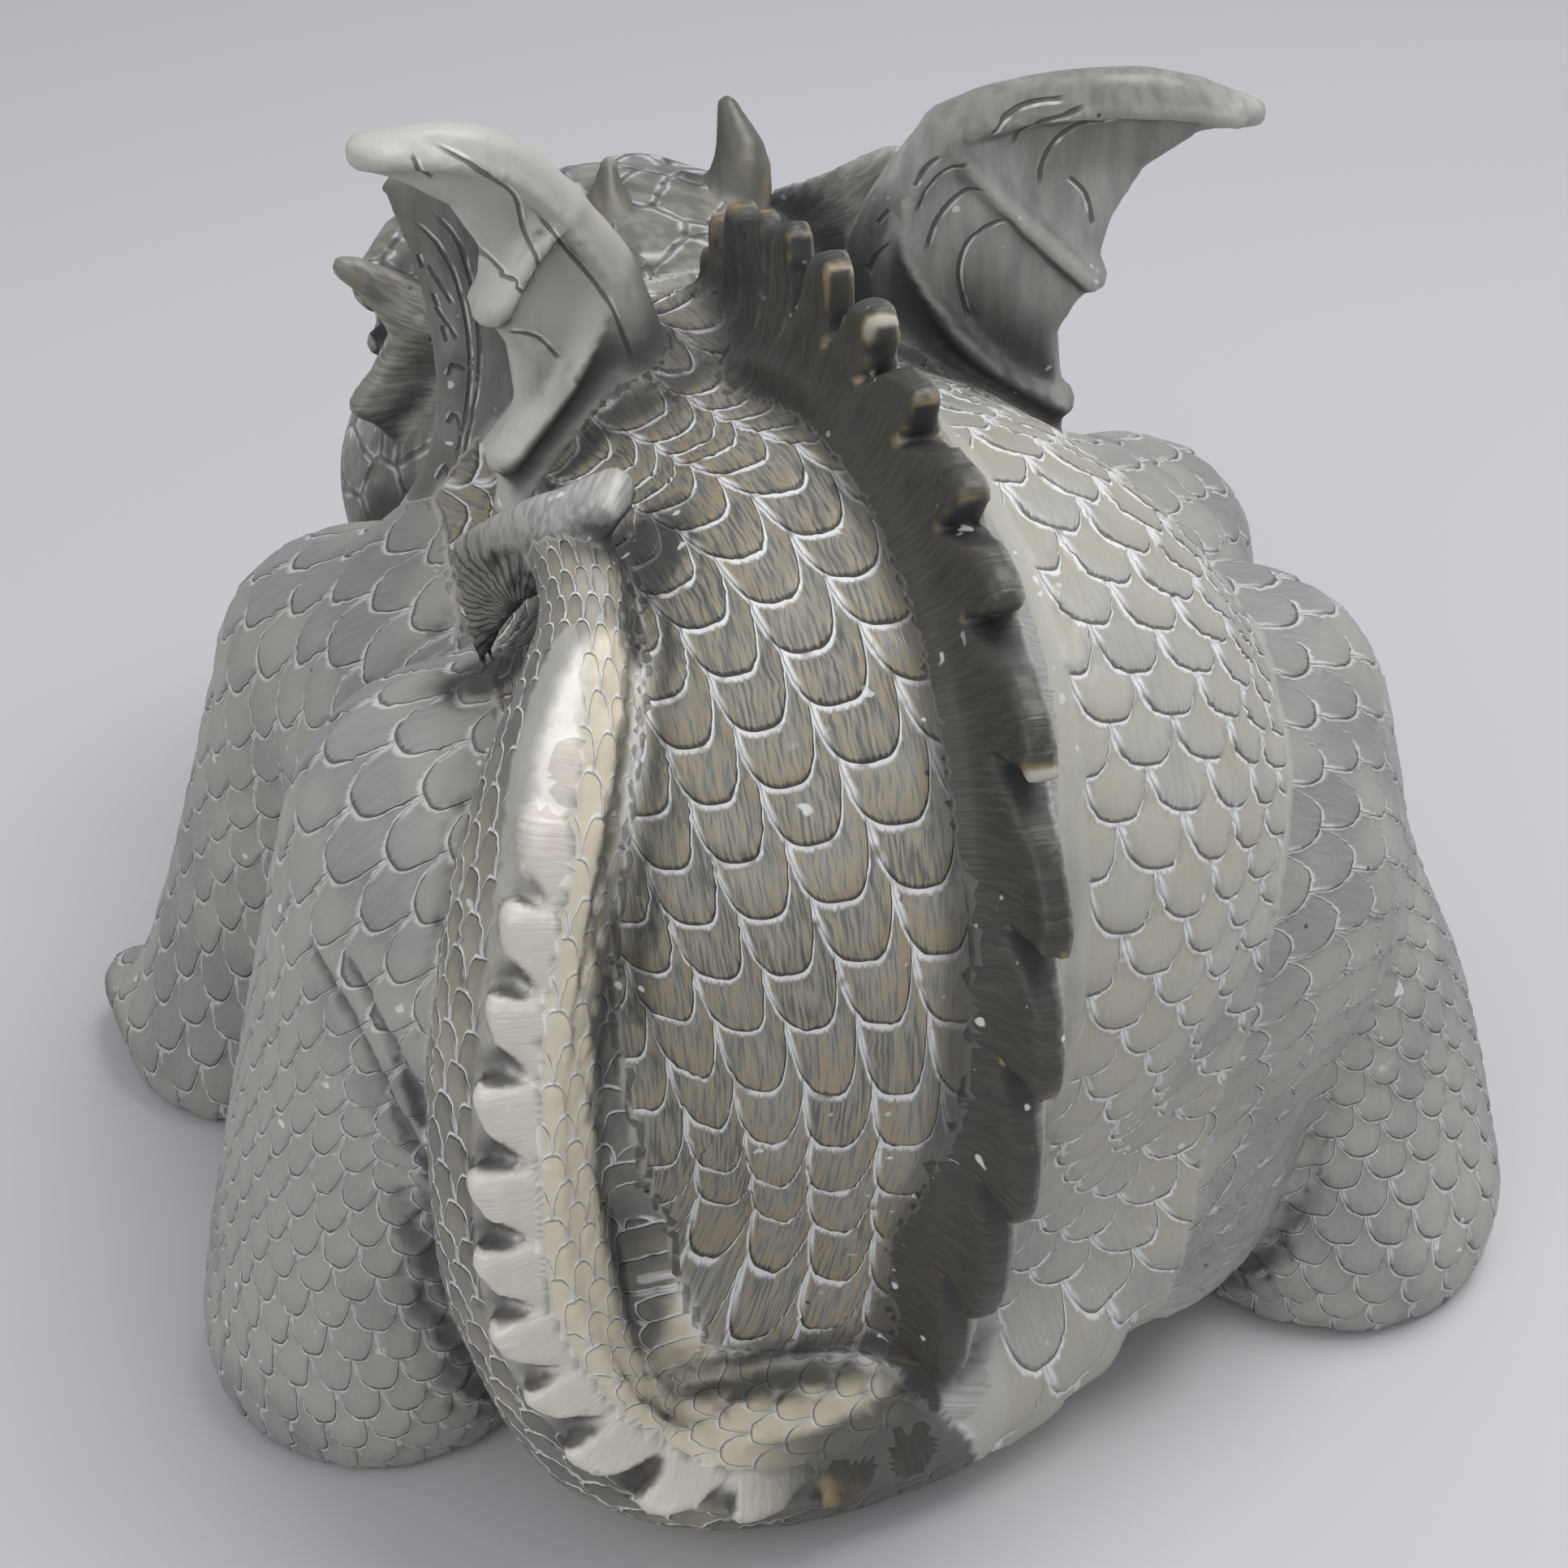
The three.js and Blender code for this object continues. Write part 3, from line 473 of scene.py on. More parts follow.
HOOK = (3.2, -5.5)              # middle of the gap under the arrowhead's hooked barb
arrowhead = Sheet(1.2, [20, 22, 76.5], [0.82, -0.5, 0.02], [-0.1, 0.3, 1], [
    (-5.2, 5.2), (-4.3, 6.5), (-2.7, 6.4), (-0.8, 4.9), (1.9, 3.1), (4.5, 1.2), (7.6, -1.1), (8.3, -2.6),
    (8.1, -5.6), (7.9, -8.4), (7.2, -11.6), (6.5, -10.6), (5.6, -8.4), (4.4, -6.3), (2.8, -4.2), (0.2, -2.6),
    (-1.6, 0.6), (-3.6, 2.6),
], 9 * MILLIMETRE)

BARB = [[16.6, 23.6, 82, 1.5], [19.6, 22.6, 80, 1.9], [21.6, 20.8, 79, 1.5], [26, 18.4, 75.6, 1.3]]

legs = {}
toes = []
for name, made in (("left hind", hind_leg(1)), ("right hind", hind_leg(-1)),
                   ("left front", front_leg(1)), ("right front", front_leg(-1))):
    legs[name] = [*made[0], *(finger for finger, _ in made[1])]
    toes += [nail for _, nail in made[1]]

# Every region of the skin, in the order in which its forms melt together
REGIONS = {
    "torso": body,
    **legs,
    "claws": toes,
    "head": skull,
    "ears": ears,
    "horns": horns,
    "left wing": left_wing,
    "right wing": right_wing,
    "crest": [crest],
    "tail": [limb(1.6, TAIL)],
    "tail teeth": [tail_teeth],
    "arrowhead": [arrowhead, limb(0.8, BARB)],
}
NAMES = list(REGIONS)
LIMBS = list(legs)
FORMS = [form for forms in REGIONS.values() for form in forms]


# Lines cut into the wings

class Line:
    """A line on the plane of one of a wing's panels."""

    def __init__(self, sheet, rows):
        self.sheet = sheet
        self.points = sampled([(a, b, 0) for a, b in rows])
        self.run = lengths_along(self.points)

    def places(self, p):
        """Offset to the line's side, share of its length passed, and gap to it."""
        a, b, c = self.sheet.places(p)
        flat = np.stack([a, b, 0 * a], 1)
        span, _, gap = nearest_on(self.points, flat)
        ahead = unit(self.points[span + 1] - self.points[span])
        off = flat - self.points[span]
        along = np.einsum("ij,ij->i", off, ahead)
        side = ahead[:, 0] * off[:, 1] - ahead[:, 1] * off[:, 0]
        return side, (self.run[span] + along) / self.run[-1], gap + np.maximum(np.abs(c) - 2, 0)


LINES = {
    "right wing": [Line(right_wing[0], rows) for rows in (
        [(8.8, 96.1), (10, 97.7), (11.7, 98.6), (14.3, 99)],
        [(10.5, 94.7), (11.1, 96.3), (12.5, 97.5), (15.8, 98.6)],
        [(12.8, 91.4), (12.8, 93.4), (13.7, 95.4), (15.5, 96.8), (18.4, 97.6)],
        [(3.4, 91.6), (4.3, 93.3), (5.4, 94.4)],
        [(3.7, 89.2), (4.4, 91.5), (6, 93.1), (7.6, 94)],
        [(4.4, 85.9), (5.2, 88.7), (7.1, 91.1), (9.1, 92)],
        [(8, 80.4), (7, 83.8), (7.2, 86.2), (8.3, 87.9), (10.8, 89.3)],
        [(0, 83.9), (0.7, 85.8), (1.8, 86.9)],
        [(0.6, 88.2), (1.6, 89.6)],
        [(14.8, 92.6), (16.2, 91.2), (16.9, 88.8)],
    )],
    "left wing": [Line(left_wing[sheet], rows) for sheet, rows in (
        (0, [(16.4, 99.4), (13.4, 97.4), (10.5, 94.6), (9.6, 91), (9.2, 88.4), (8.9, 86.6)]),
        (0, [(9.2, 93.4), (7, 90), (4, 85.6), (2.4, 81.4), (1.8, 78.6)]),
        (0, [(17.9, 99), (17.4, 97.9), (16.1, 96.6)]),
        (0, [(13.1, 90.6), (11.6, 88.6), (10, 86.1)]),
        (0, [(11.4, 83.6), (9, 82.6), (7.2, 80.2)]),
        (-1, [(15.1, 88.4), (12.8, 85.5), (11.8, 80.2), (11.8, 75.6), (12.6, 68.4), (13.4, 61.9)]),
        (-1, [(16.6, 87.6), (14.5, 85.4), (13.2, 82.4), (12.6, 77.9), (12.7, 73.2), (13.5, 65.9)]),
        (-1, [(16, 84.4), (15.7, 83.2)]), (-1, [(15.1, 81.2), (14.8, 80)]), (-1, [(14.6, 78.4), (14.3, 77)]),
        (-1, [(15.3, 83.6), (13.6, 80.2)]), (-1, [(15.1, 80.2), (13.4, 77.1)]),
        (-1, [(14.4, 74), (13.9, 75.1), (12.9, 74.6)]), (-1, [(14.5, 69.9), (13.9, 71.1), (13.1, 69.6)]),
        (-1, [(15, 65.5), (14.4, 66.6), (13.5, 65.9)]),
    )],
}

# Raised ribs on the face of each wing that looks to the rear
RIBS = {
    "right wing": [Line(right_wing[0], rows) for rows in (
        [(5.8, 95.4), (11, 90), (17, 84.2)],
        [(5.8, 95.4), (2.6, 88.3), (4.2, 83.5), (9, 77.5), (15.2, 73.6)],
        [(0.4, 76), (0.9, 86), (5.5, 94.6), (12, 97.6), (20, 98.2), (27, 96.6)],
    )],
    "left wing": [Line(left_wing[0], rows) for rows in (
        [(0.6, 76), (3.4, 86), (8.7, 94), (14, 97.6), (20, 98.6)],
        [(6, 92), (9, 90), (12.2, 85.4)],
        [(2.5, 86), (5.5, 80), (12, 73)],
    )],
}


# Distance to the whole form, and the skin read from it

def melted(p, forms, distances):
    result = np.full(len(p), FAR)
    for form, other in zip(forms, distances):
        if form.blend:
            overlap = np.maximum(form.blend - np.abs(result - other), 0)
            result = np.minimum(result, other) - overlap * overlap / (4 * form.blend)
        else:
            result = np.minimum(result, other)
    return np.maximum(result, -p[:, 2])


def distance_at(p, forms):
    return melted(p, forms, (form.distance(p) for form in forms))


class Distances:
    """Distances on a lattice, worked out closely only in the blocks that the skin passes through."""

    def __init__(self, cell, block=10, probes=4):
        self.cell = cell
        low = np.min([form.low for form in FORMS], 0)
        high = np.max([form.high for form in FORMS], 0)
        low[2] = 0
        self.low = low - 2.5 * cell
        counts = np.ceil((high + 2.5 * cell - self.low) / cell / block).astype(int) * block + 1
        self.values = np.full(counts, FAR, np.float32)
        inner = self.cube(np.arange(block + 1) * cell)
        probe = np.linspace(0, cell * block, probes)
        outer = self.cube(probe)
        near_probe = 1.2 * math.sqrt(3) / 2 * probe[1]
        spread = np.array([np.interp(np.arange(block + 1) * cell, probe, row) for row in np.eye(probes)]).T
        for index in np.ndindex(*(counts // block)):
            start = np.array(index) * block
            corner = self.low + start * cell
            forms = [f for f in FORMS if f.touches(corner - 4, corner + block * cell + 4)]
            if not forms:
                continue
            each = [form.distance(outer + corner) for form in forms]
            rough = melted(outer + corner, forms, each)
            cut = tuple(slice(s, s + block + 1) for s in start)
            if np.abs(rough).min() > near_probe + 2 * cell:
                rough = rough.reshape((probes,) * 3)
                self.values[cut] = np.einsum("ia,jb,kc,abc->ijk", spread, spread, spread, rough)
                continue
            forms = [f for f, gap in zip(forms, each) if (gap - rough).min() < f.blend + 2 * near_probe]
            fine = distance_at(inner + corner, forms)
            self.values[cut] = fine.reshape((block + 1,) * 3)

    @staticmethod
    def cube(steps):
        return np.stack(np.meshgrid(steps, steps, steps, indexing="ij"), -1).reshape(-1, 3)

    def at(self, p):
        """Distance at places between the lattice's points."""
        place = (p - self.low) / self.cell
        first = np.clip(np.floor(place).astype(int), 0, np.array(self.values.shape) - 2)
        part = np.clip(place - first, 0, 1)
        total = np.zeros(len(p))
        for corner in np.ndindex(2, 2, 2):
            weight = np.prod(np.where(corner, part, 1 - part), axis=1)
            total += weight * self.values[tuple((first + corner).T)]
        return total

    def slope(self, p):
        """Direction out of the form."""
        steps = np.eye(3) * self.cell * 0.75
        return unit(np.stack([self.at(p + step) - self.at(p - step) for step in steps], 1))


def read_skin(distances):
    """Skin as points and four-sided faces: one point in each cell that it passes through."""
    low, values, cell = distances.low, distances.values, distances.cell
    counts = np.array(values.shape)
    inside = values < 0
    corners = [(i, j, k) for i in (0, 1) for j in (0, 1) for k in (0, 1)]

    def at(corner):
        return tuple(slice(c, c + n - 1) for c, n in zip(corner, counts))

    filled = sum(inside[at(corner)].astype(np.int8) for corner in corners)
    cells = np.argwhere((filled > 0) & (filled < 8))
    number = np.full(counts - 1, -1, np.int32)
    number[tuple(cells.T)] = np.arange(len(cells))
    total = np.zeros((len(cells), 3))
    hits = np.zeros(len(cells))
    for a in corners:
        for axis in range(3):
            if a[axis]:
                continue
            b = list(a)
            b[axis] = 1
            first = values[tuple((cells + a).T)]
            second = values[tuple((cells + b).T)]
            crossed = (first < 0) != (second < 0)
            t = np.where(crossed, first / np.where(crossed, first - second, 1), 0)
            place = np.repeat(np.array(a, float)[None], len(cells), 0)
            place[:, axis] += t
            total += place * crossed[:, None]
            hits += crossed
    points = low + (cells + total / hits[:, None]) * cell
    faces = []
    for axis in range(3):
        one, two = (axis + 1) % 3, (axis + 2) % 3
        ahead = [slice(None)] * 3
        behind = [slice(None)] * 3
        ahead[axis], behind[axis] = slice(1, None), slice(None, -1)
        first, second = inside[tuple(behind)], inside[tuple(ahead)]
        edges = np.argwhere(first != second)
        edges = edges[(edges[:, one] > 0) & (edges[:, two] > 0)]
        outward = first[tuple(edges.T)]
        ring = []
        for d, e in ((0, 0), (-1, 0), (-1, -1), (0, -1)):
            place = edges.copy()
            place[:, one] += d
            place[:, two] += e
            ring.append(number[tuple(place.T)])
        ring = np.stack(ring, 1)
        ring[~outward] = ring[~outward, ::-1]
        faces.append(ring)
    return points, np.concatenate(faces)


# Carving: lattices of scales that follow the body, the legs and the tail

def wavering(p, size, seed):
    """Slow waver between -1 and 1 over the form, so that no row is ruled."""
    rng = np.random.default_rng(seed)
    total = np.zeros(len(p))
    for _ in range(4):
        way = unit(rng.normal(size=3)) * rng.uniform(0.7, 1.4) * 2 * math.pi / size
        total += np.sin(p @ way + rng.uniform(0, 2 * math.pi))
    return total / 2.6


PROFILE = np.array([
    (30, 0), (43, 8), (49.5, 34), (51.5, 44), (52, 54), (50, 63), (46.5, 71), (41, 77), (34, 81.5),
    (26, 84), (18, 84.5), (9, 82.5), (0, 79), (-9, 74.5), (-18, 68), (-30, 62), (-38, 50), (-38, 30),
    (-34, 8), (-20, 0),
], float)
CORE = np.array([16.0, 42.0])
TORSO_WIDTH = 37.0


def round_core(y, z):
    angle = np.degrees(np.arctan2(z - CORE[1], y - CORE[0]))
    return np.where(angle < -100, angle + 360, angle)


PROFILE_ANGLE = round_core(PROFILE[:, 0], PROFILE[:, 1])
PROFILE_RUN = lengths_along(PROFILE)
LEFT_RUN = PROFILE_RUN.copy()
LEFT_RUN[:4] += (20, 15, 6, 2)  # longer rows low down on the left of the rump
CREST_ANGLE = round_core(crest.points[:, 1], crest.points[:, 2])


def torso_places(p):
    """Rows down from the nape over the back, and distance to the side of the crest."""
    angle = round_core(p[:, 1], p[:, 2])
    middle = np.interp(angle, CREST_ANGLE[::-1], crest.points[::-1, 0])
    run = np.where(p[:, 0] > middle, np.interp(angle, PROFILE_ANGLE, LEFT_RUN),
                   np.interp(angle, PROFILE_ANGLE, PROFILE_RUN))
    rho = np.hypot(p[:, 1] - CORE[0], p[:, 2] - CORE[1])
    across = np.arctan2(p[:, 0] - middle, rho) * TORSO_WIDTH
    return across, PROFILE_RUN[-1] - run


class Sleeve:
    """Lengths and turns about a bent axis, for rows of scales round a leg or the tail."""

    def __init__(self, rows, sides, outward, radius):
        self.points = sampled(rows)
        self.tangent = unit(np.gradient(self.points, axis=0))
        sides = np.broadcast_to(np.array(sides, float), self.points.shape)
        self.first = self.square_to(sides)
        self.second = np.cross(self.tangent, self.first)
        skin_line = self.points + radius * self.square_to(np.broadcast_to(outward, self.points.shape))
        self.run = lengths_along(skin_line)

    def square_to(self, way):
        way = np.asarray(way, float)
        return unit(way - np.einsum("ij,ij->i", way, self.tangent)[:, None] * self.tangent)

    def past(self, p, number):
        """How far each place lies past a numbered point of the axis."""
        return np.einsum("ij,ij->i", p - self.points[number], self.tangent[number])

    def places(self, p):
        """Turn about the axis and length along the skin."""
        span, _, _ = nearest_on(self.points, p)
        last = len(self.points) - 2
        for _ in range(3):
            before, after = self.past(p, span), self.past(p, span + 1)
            span = np.clip(span - (before < 0) + ((before >= 0) & (after > 0)), 0, last)
        before, after = self.past(p, span), self.past(p, span + 1)
        t = np.clip(before / np.maximum(before - after, 1e-6), 0, 1)
        s = t[:, None]
        first = self.first[span] * (1 - s) + self.first[span + 1] * s
        second = self.second[span] * (1 - s) + self.second[span + 1] * s
        off = p - self.points[span] * (1 - s) - self.points[span + 1] * s
        turn = np.arctan2(np.einsum("ij,ij->i", off, second), np.einsum("ij,ij->i", off, first))
        return turn, self.run[span] * (1 - t) + self.run[span + 1] * t


def hind_place(turn):
    """Middle of the haunch and shin, on an arch about a hub low inside the leg."""
    along = math.radians(turn)
    arch = 34 + 12 * math.cos(along)
    return [6 + arch * math.sin(along), 20 - turn / 50, 2 + arch * math.cos(along)]


HIND_AXIS = [hind_place(turn) for turn in range(-30, 106, 15)]
FRONT_AXIS = [[8, -6, 44], [18, -9, 48], [28, -13.5, 46], [35, -17.5, 35], [40.5, -20.5, 18], [45, -22, -6]]


def leg_sleeve(axis, side, radius):
    rows = [flip(row) for row in axis] if side < 0 else axis
    return Sleeve(rows, [0, 1, 0], [side * 0.6, 0.1, 0.8], radius)


def tail_sleeve():
    rows = [row[:3] for row in TAIL]
    gaps = np.linalg.norm(sampled(rows)[:, None] - tail_teeth.points[None], axis=2)
    return Sleeve(rows, tail_teeth.lean[np.argmin(gaps, axis=1)], [0.2, 1, 0.1], 6)


# Axis of each limb's rows of scales, columns of scales round it and the spacing of its rows
SLEEVES = {
    "left hind": (leg_sleeve(HIND_AXIS, 1, 16), 27, 4.3),
    "right hind": (leg_sleeve(HIND_AXIS, -1, 16), 27, 4.3),
    "left front": (leg_sleeve(FRONT_AXIS, 1, 12), 18, 4.3),
    "right front": (leg_sleeve(FRONT_AXIS, -1, 12), 18, 4.3),
    "tail": (tail_sleeve(), 17, 2.8),
}
LEFT_COLUMN, LEFT_ROW = 4.9, 4.6    # scales left of the crest, across and down
RIGHT_COLUMN, RIGHT_ROW = 5.4, 3.8
WAVER = 0.16                        # of a scale's width or height


def lattice(region, p):
    """Columns, rows and period of columns of one region's carving, at places p."""
    bend = wavering(p, 26, 5) * WAVER
    sway = wavering(p, 23, 9) * WAVER
    if region in SLEEVES:
        sleeve, columns, row = SLEEVES[region]
        turn, run = sleeve.places(p)
        return turn / (2 * math.pi) * columns + bend, run / row + sway, columns
    if region == "ears":
        webs = [ears[0], ears[4]]
        a, b, c = webs[0].places(p)
        a2, b2, c2 = webs[1].places(p)
        other = np.abs(c2) < np.abs(c)
        a, b = np.where(other, a2, a), np.where(other, b2, b)
        return np.arctan2(b, a + 6) * 7, np.hypot(a, b) / 5, 0
    if region in ("crest", "tail teeth"):
        s, v, _ = REGIONS[region][0].places(p)
        return s / 2, v / 4, 0
    if region == "arrowhead":
        a, b, _ = arrowhead.places(p)
        return np.arctan2(b - HOOK[1], a - HOOK[0]) * 6, np.hypot(a - HOOK[0], b - HOOK[1]) / 2, 0
    across, run = torso_places(p)
    right = across < 0
    column, row = np.where(right, RIGHT_COLUMN, LEFT_COLUMN), np.where(right, RIGHT_ROW, LEFT_ROW)
    return across / column + bend, run / row + sway, 0


LENGTH = 1.3                    # rows that a scale reaches down from its root
LOPSIDED = -0.13                # where in its width a scale is longest


def scale_at(u, v, shift):
    """Which scale lies on top, how far out in it a place is, and the gap to the one above."""
    row = np.floor(v)
    reach = []
    for step in (-1, 0, 1):
        t = u - shift * (row + step)
        t = t - np.floor(t) - 0.5 - LOPSIDED
        side = np.abs(t) / np.where(t > 0, 0.5 - LOPSIDED, 0.5 + LOPSIDED)
        down = np.maximum(v - row - step, 0) / LENGTH
        reach.append(np.hypot(side ** 1.5, down))
    upper, own, lower = reach
    on_upper = upper < 1
    on_own = ~on_upper & (own < 1)
    out = np.where(on_upper, upper, np.where(on_own, own, lower))
    gap = np.where(on_upper, 1, np.where(on_own, upper - 1, np.minimum(upper, own) - 1))
    return out, gap


HAUNCH_SIDE = 25.0              # nearer the crest than this the back's scales go on over the haunch
TAIL_ROOT = 3.0                 # and right of this over the root of the tail
TOOTH_FOOT = 1.8                # rise over the tail's ridge at which its teeth stand out of the scales


def region_of(p):
    """Nearest region of each place, and how near the runner-up is."""
    best = np.full(len(p), 1e9)
    second = np.full(len(p), 1e9)
    which = np.zeros(len(p), int)
    gaps = {}
    for i, (name, forms) in enumerate(REGIONS.items()):
        low = np.min([f.low for f in forms], 0) - 3
        high = np.max([f.high for f in forms], 0) + 3
        some = np.flatnonzero(np.all((p > low) & (p < high), 1))
        gap = np.full(len(p), 1e9)
        if len(some):
            gap[some] = np.min([form.distance(p[some]) for form in forms], 0)
        if name in ("left hind", "right hind"):
            gap = gap + np.maximum(HAUNCH_SIDE - np.abs(p[:, 0] - MIDDLE), 0) * (p[:, 1] > 20)
        if name == "tail":
            gap = gap + np.maximum(TAIL_ROOT - p[:, 0], 0)
        if name == "tail teeth" and len(some):
            s, v, _ = tail_teeth.places(p[some])
            gap[some] += np.maximum(TOOTH_FOOT - v, 0) + np.maximum(2 - s, 0)
        gaps[name] = gap
        closer = gap < best
        second = np.where(closer, best, np.minimum(second, gap))
        best = np.where(closer, gap, best)
        which[closer] = i
    return which, second - best, gaps


SCALED, FIN, SMOOTH, WING, HEAD_SKIN = range(5)
FINISH = {
    "crest": FIN, "tail teeth": FIN, "head": HEAD_SKIN, "left wing": WING, "right wing": WING,
    **{name: SMOOTH for name in ("ears", "horns", "claws", "arrowhead")},
    **{name: SCALED for name in ("torso", "tail", *LIMBS)},
}

# How much paler or darker than the grey stone each region's patina is; the left wing's paleness is painted
# light
TONES = {
    "horns": -0.42, "head": -0.2, "ears": -0.05, "left wing": 0.8, "right wing": 0.04, "left front": -0.1,
    "arrowhead": 0.1,
}
RIGHT_FLANK_PALER = 0.26
TAIL_LEFT_DARKER = 0.3
# painted shade on the left wing's front panel, which looks away from the light
LEFT_PANEL_PAINTED_SHADE = 1.08
# painted shade on the right wing, darker towards its root
RIGHT_WING_ROOT_PAINTED_SHADE = 0.18

# Two long creases down the back of the left haunch
CREASES = [sampled(rows) for rows in (
    [[40.8, 25.7, 48.5], [39.1, 30, 46.2], [38.2, 32.3, 44.7], [36.9, 34.5, 41.6], [35.5, 35.8, 37.7],
     [34.2, 36.6, 34]],
    [[38.5, 29.4, 49.4], [37.6, 31.6, 48.2], [36.6, 34, 46.4], [35.5, 36, 44], [34.5, 37.3, 41],
     [33.9, 37.9, 37.5]],
)]
CREASE_WIDTH, RIB_WIDTH = 0.75, 0.68


def bell(gap, width):
    return np.exp(-(gap / width) ** 2)


def rib_marks(p, is_in, on_panel):
    """Ribs of both wings, left out on the left wing's front panel."""
    marks = np.zeros(len(p))
    for name, lines in RIBS.items():
        some = np.flatnonzero(is_in[name])
        for line in lines:
            rib = bell(line.places(p[some])[2], RIB_WIDTH) * (1 - on_panel[some])
            marks[some] = np.maximum(marks[some], rib)
    return marks


def tone_of(p, is_in, darker):
    """How pale each place is, from its patina and from painted light and shade, 0.5 for the plain grey stone.
    """
    tone = 0.5 - darker
    for name, value in TONES.items():
        tone += is_in[name] * value
    tone -= RIGHT_WING_ROOT_PAINTED_SHADE * is_in["right wing"] * smooth(94, 78, p[:, 2])
    return np.clip(tone, 0, 1.3)


def masks_at(p):
    """What each place of the skin is: marks between 0 and 1 that the carving and the finish read."""
    which, margin, gaps = region_of(p)
    is_in = {name: (which == i).astype(float) for i, name in enumerate(NAMES)}
    across, run = torso_places(p)
    torso, tail = is_in["torso"], is_in["tail"]
    limbs = sum(is_in[name] for name in LIMBS)
    belly = torso * smooth(66, 58, run) * smooth(13, 11.5, np.abs(across))
    band = torso * smooth(0, -1, across) * smooth(-5.8, -4.4, across) * smooth(88, 96, run)

    # The tail's teeth are cream on the side that shows, over small scales, and brown where the crest ends
    s, v, w = tail_teeth.places(p)
    inner = smooth(-0.9, 0, w)
    foot = smooth(1.5, 2.2, v)
    valley = (1 - inner) * smooth(1.5, 2.5, v) * smooth(-2.4, -1.6, w)
    past_crest = smooth(7, 17, s)
    still_crest = (is_in["tail teeth"] + tail * smooth(-0.8, 0, v)) * (1 - past_crest)
    to_tail = gaps["tail"] - gaps["torso"]

    s, _, w = crest.places(p)
    near_crest = is_in["crest"] + torso * smooth(2.6, 0.6, gaps["crest"])
    # The left wing's front panel is darker than its rear one, as painted shade, and has no ribs
    on_panel = smooth(1, -1, left_wing[-1].distance(p) - left_wing[0].distance(p))
    darker = TAIL_LEFT_DARKER * tail * (1 - inner) + LEFT_PANEL_PAINTED_SHADE * is_in["left wing"] * on_panel
    darker -= RIGHT_FLANK_PALER * torso * (across < 0)
    scaled = torso * (1 - belly) * (1 - band) + limbs + tail * (1 - inner * foot) * (1 - valley)
    marks = {
        "scales": scaled * smooth(0.0, 0.9, margin),
        "shift": np.where((torso > 0) & (across > 0), -0.18, 0.5),
        "left back": torso * smooth(-0.5, 0.5, across) * smooth(84, 96, run),
        "plates": belly,
        "limb": limbs,
        "cream": inner * (is_in["tail teeth"] + tail * foot) * past_crest,
        "small scales": tail * inner * (1 - foot),
        "rim": bell(to_tail + 0.4, 0.9) * (tail + torso) * inner,
        "open": bell(to_tail, 1.6) * inner * smooth(22, 34, p[:, 2]),
        # Painted shade in the pocket between the haunch and the tail
        "pocket": torso * smooth(7, 2, gaps["tail"]) * smooth(40, 26, p[:, 2]) * smooth(34, 28, p[:, 0]),
        # Painted shade on the crest's left side and on the skin at its foot; the same dark is laid on the
        # tail's teeth before the crest ends
        "dark fin": np.maximum(near_crest * smooth(-1.3, -0.5, w), still_crest),
        # Painted light on the crest's right side, where its thin edges go cream instead of pale
        "pale fin": is_in["crest"] * smooth(-0.5, -1.3, w),
        "finger": is_in["crest"] * smooth(36, 26, s),
        "wrinkles": is_in["arrowhead"] * smooth(1.5, -0.5, arrowhead.places(p)[1]),
        "crease": limbs * bell(np.min([nearest_on(line, p)[2] for line in CREASES], 0), CREASE_WIDTH),
        "rib": rib_marks(p, is_in, on_panel),
        "tone": tone_of(p, is_in, darker),
    }
    return marks, which


# Heights and depths of the carving
SCALE_RISE, PLATE_RISE, RIB_RISE = 0.46, 0.5, 1.0
CREASE_DEPTH, WRINKLE_DEPTH, LINE_DEPTH, EAR_DEPTH = 0.8, 0.3, 0.16, 0.14
SWELL = ((9, 3, 0.10), (21, 4, 0.16))   # size, seed and rise of the skin's unevenness


def to_whole(u):
    return u - np.round(u)


def carving(p):
    """Depth of the carving at each place, out of the skin."""
    marks, which = masks_at(p)
    depth = np.zeros(len(p))
    for i, name in enumerate(NAMES):
        some = np.flatnonzero(which == i)
        if not len(some):
            continue
        u, v, _ = lattice(name, p[some])
        if name in ("torso", "tail", *LIMBS):
            out, gap = scale_at(u, v, marks["shift"][some])
            rise = 0.25 + 0.75 * out ** 1.5 - 0.55 * bell(1 - out, 0.07) - 0.4 * bell(gap, 0.09)
            strength = SCALE_RISE * (0.6 if name == "tail" else 1)
            depth[some] += strength * (rise - 0.6) * marks["scales"][some]
            step = v - np.floor(v)
            plate = 0.8 * step ** 2 - 1.1 * bell(1 - step, 0.1)
            depth[some] += PLATE_RISE * plate * marks["plates"][some]
        for line in LINES.get(name, []):
            depth[some] -= LINE_DEPTH * bell(line.places(p[some])[2], 0.4)
        if name == "ears":
            depth[some] -= EAR_DEPTH * bell(to_whole(u), 0.12)
    depth += RIB_RISE * marks["rib"] - CREASE_DEPTH * marks["crease"]
    angle, _, _ = lattice("arrowhead", p)
    depth -= WRINKLE_DEPTH * marks["wrinkles"] * bell(to_whole(angle), 0.18)
    for size, seed, rise in SWELL:
        depth += rise * wavering(p, size, seed)
    return depth


# The skin as a mesh

def mesh_of(name, points, faces):
    mesh = bpy.data.meshes.new(name)
    mesh.vertices.add(len(points))
    mesh.vertices.foreach_set("co", np.asarray(points, np.float32).ravel())
    size = faces.shape[1]
    mesh.loops.add(faces.size)
    mesh.loops.foreach_set("vertex_index", faces.astype(np.int32).ravel())
    mesh.polygons.add(len(faces))
    mesh.polygons.foreach_set("loop_start", np.arange(len(faces), dtype=np.int32) * size)
    mesh.update(calc_edges=True)
    return mesh


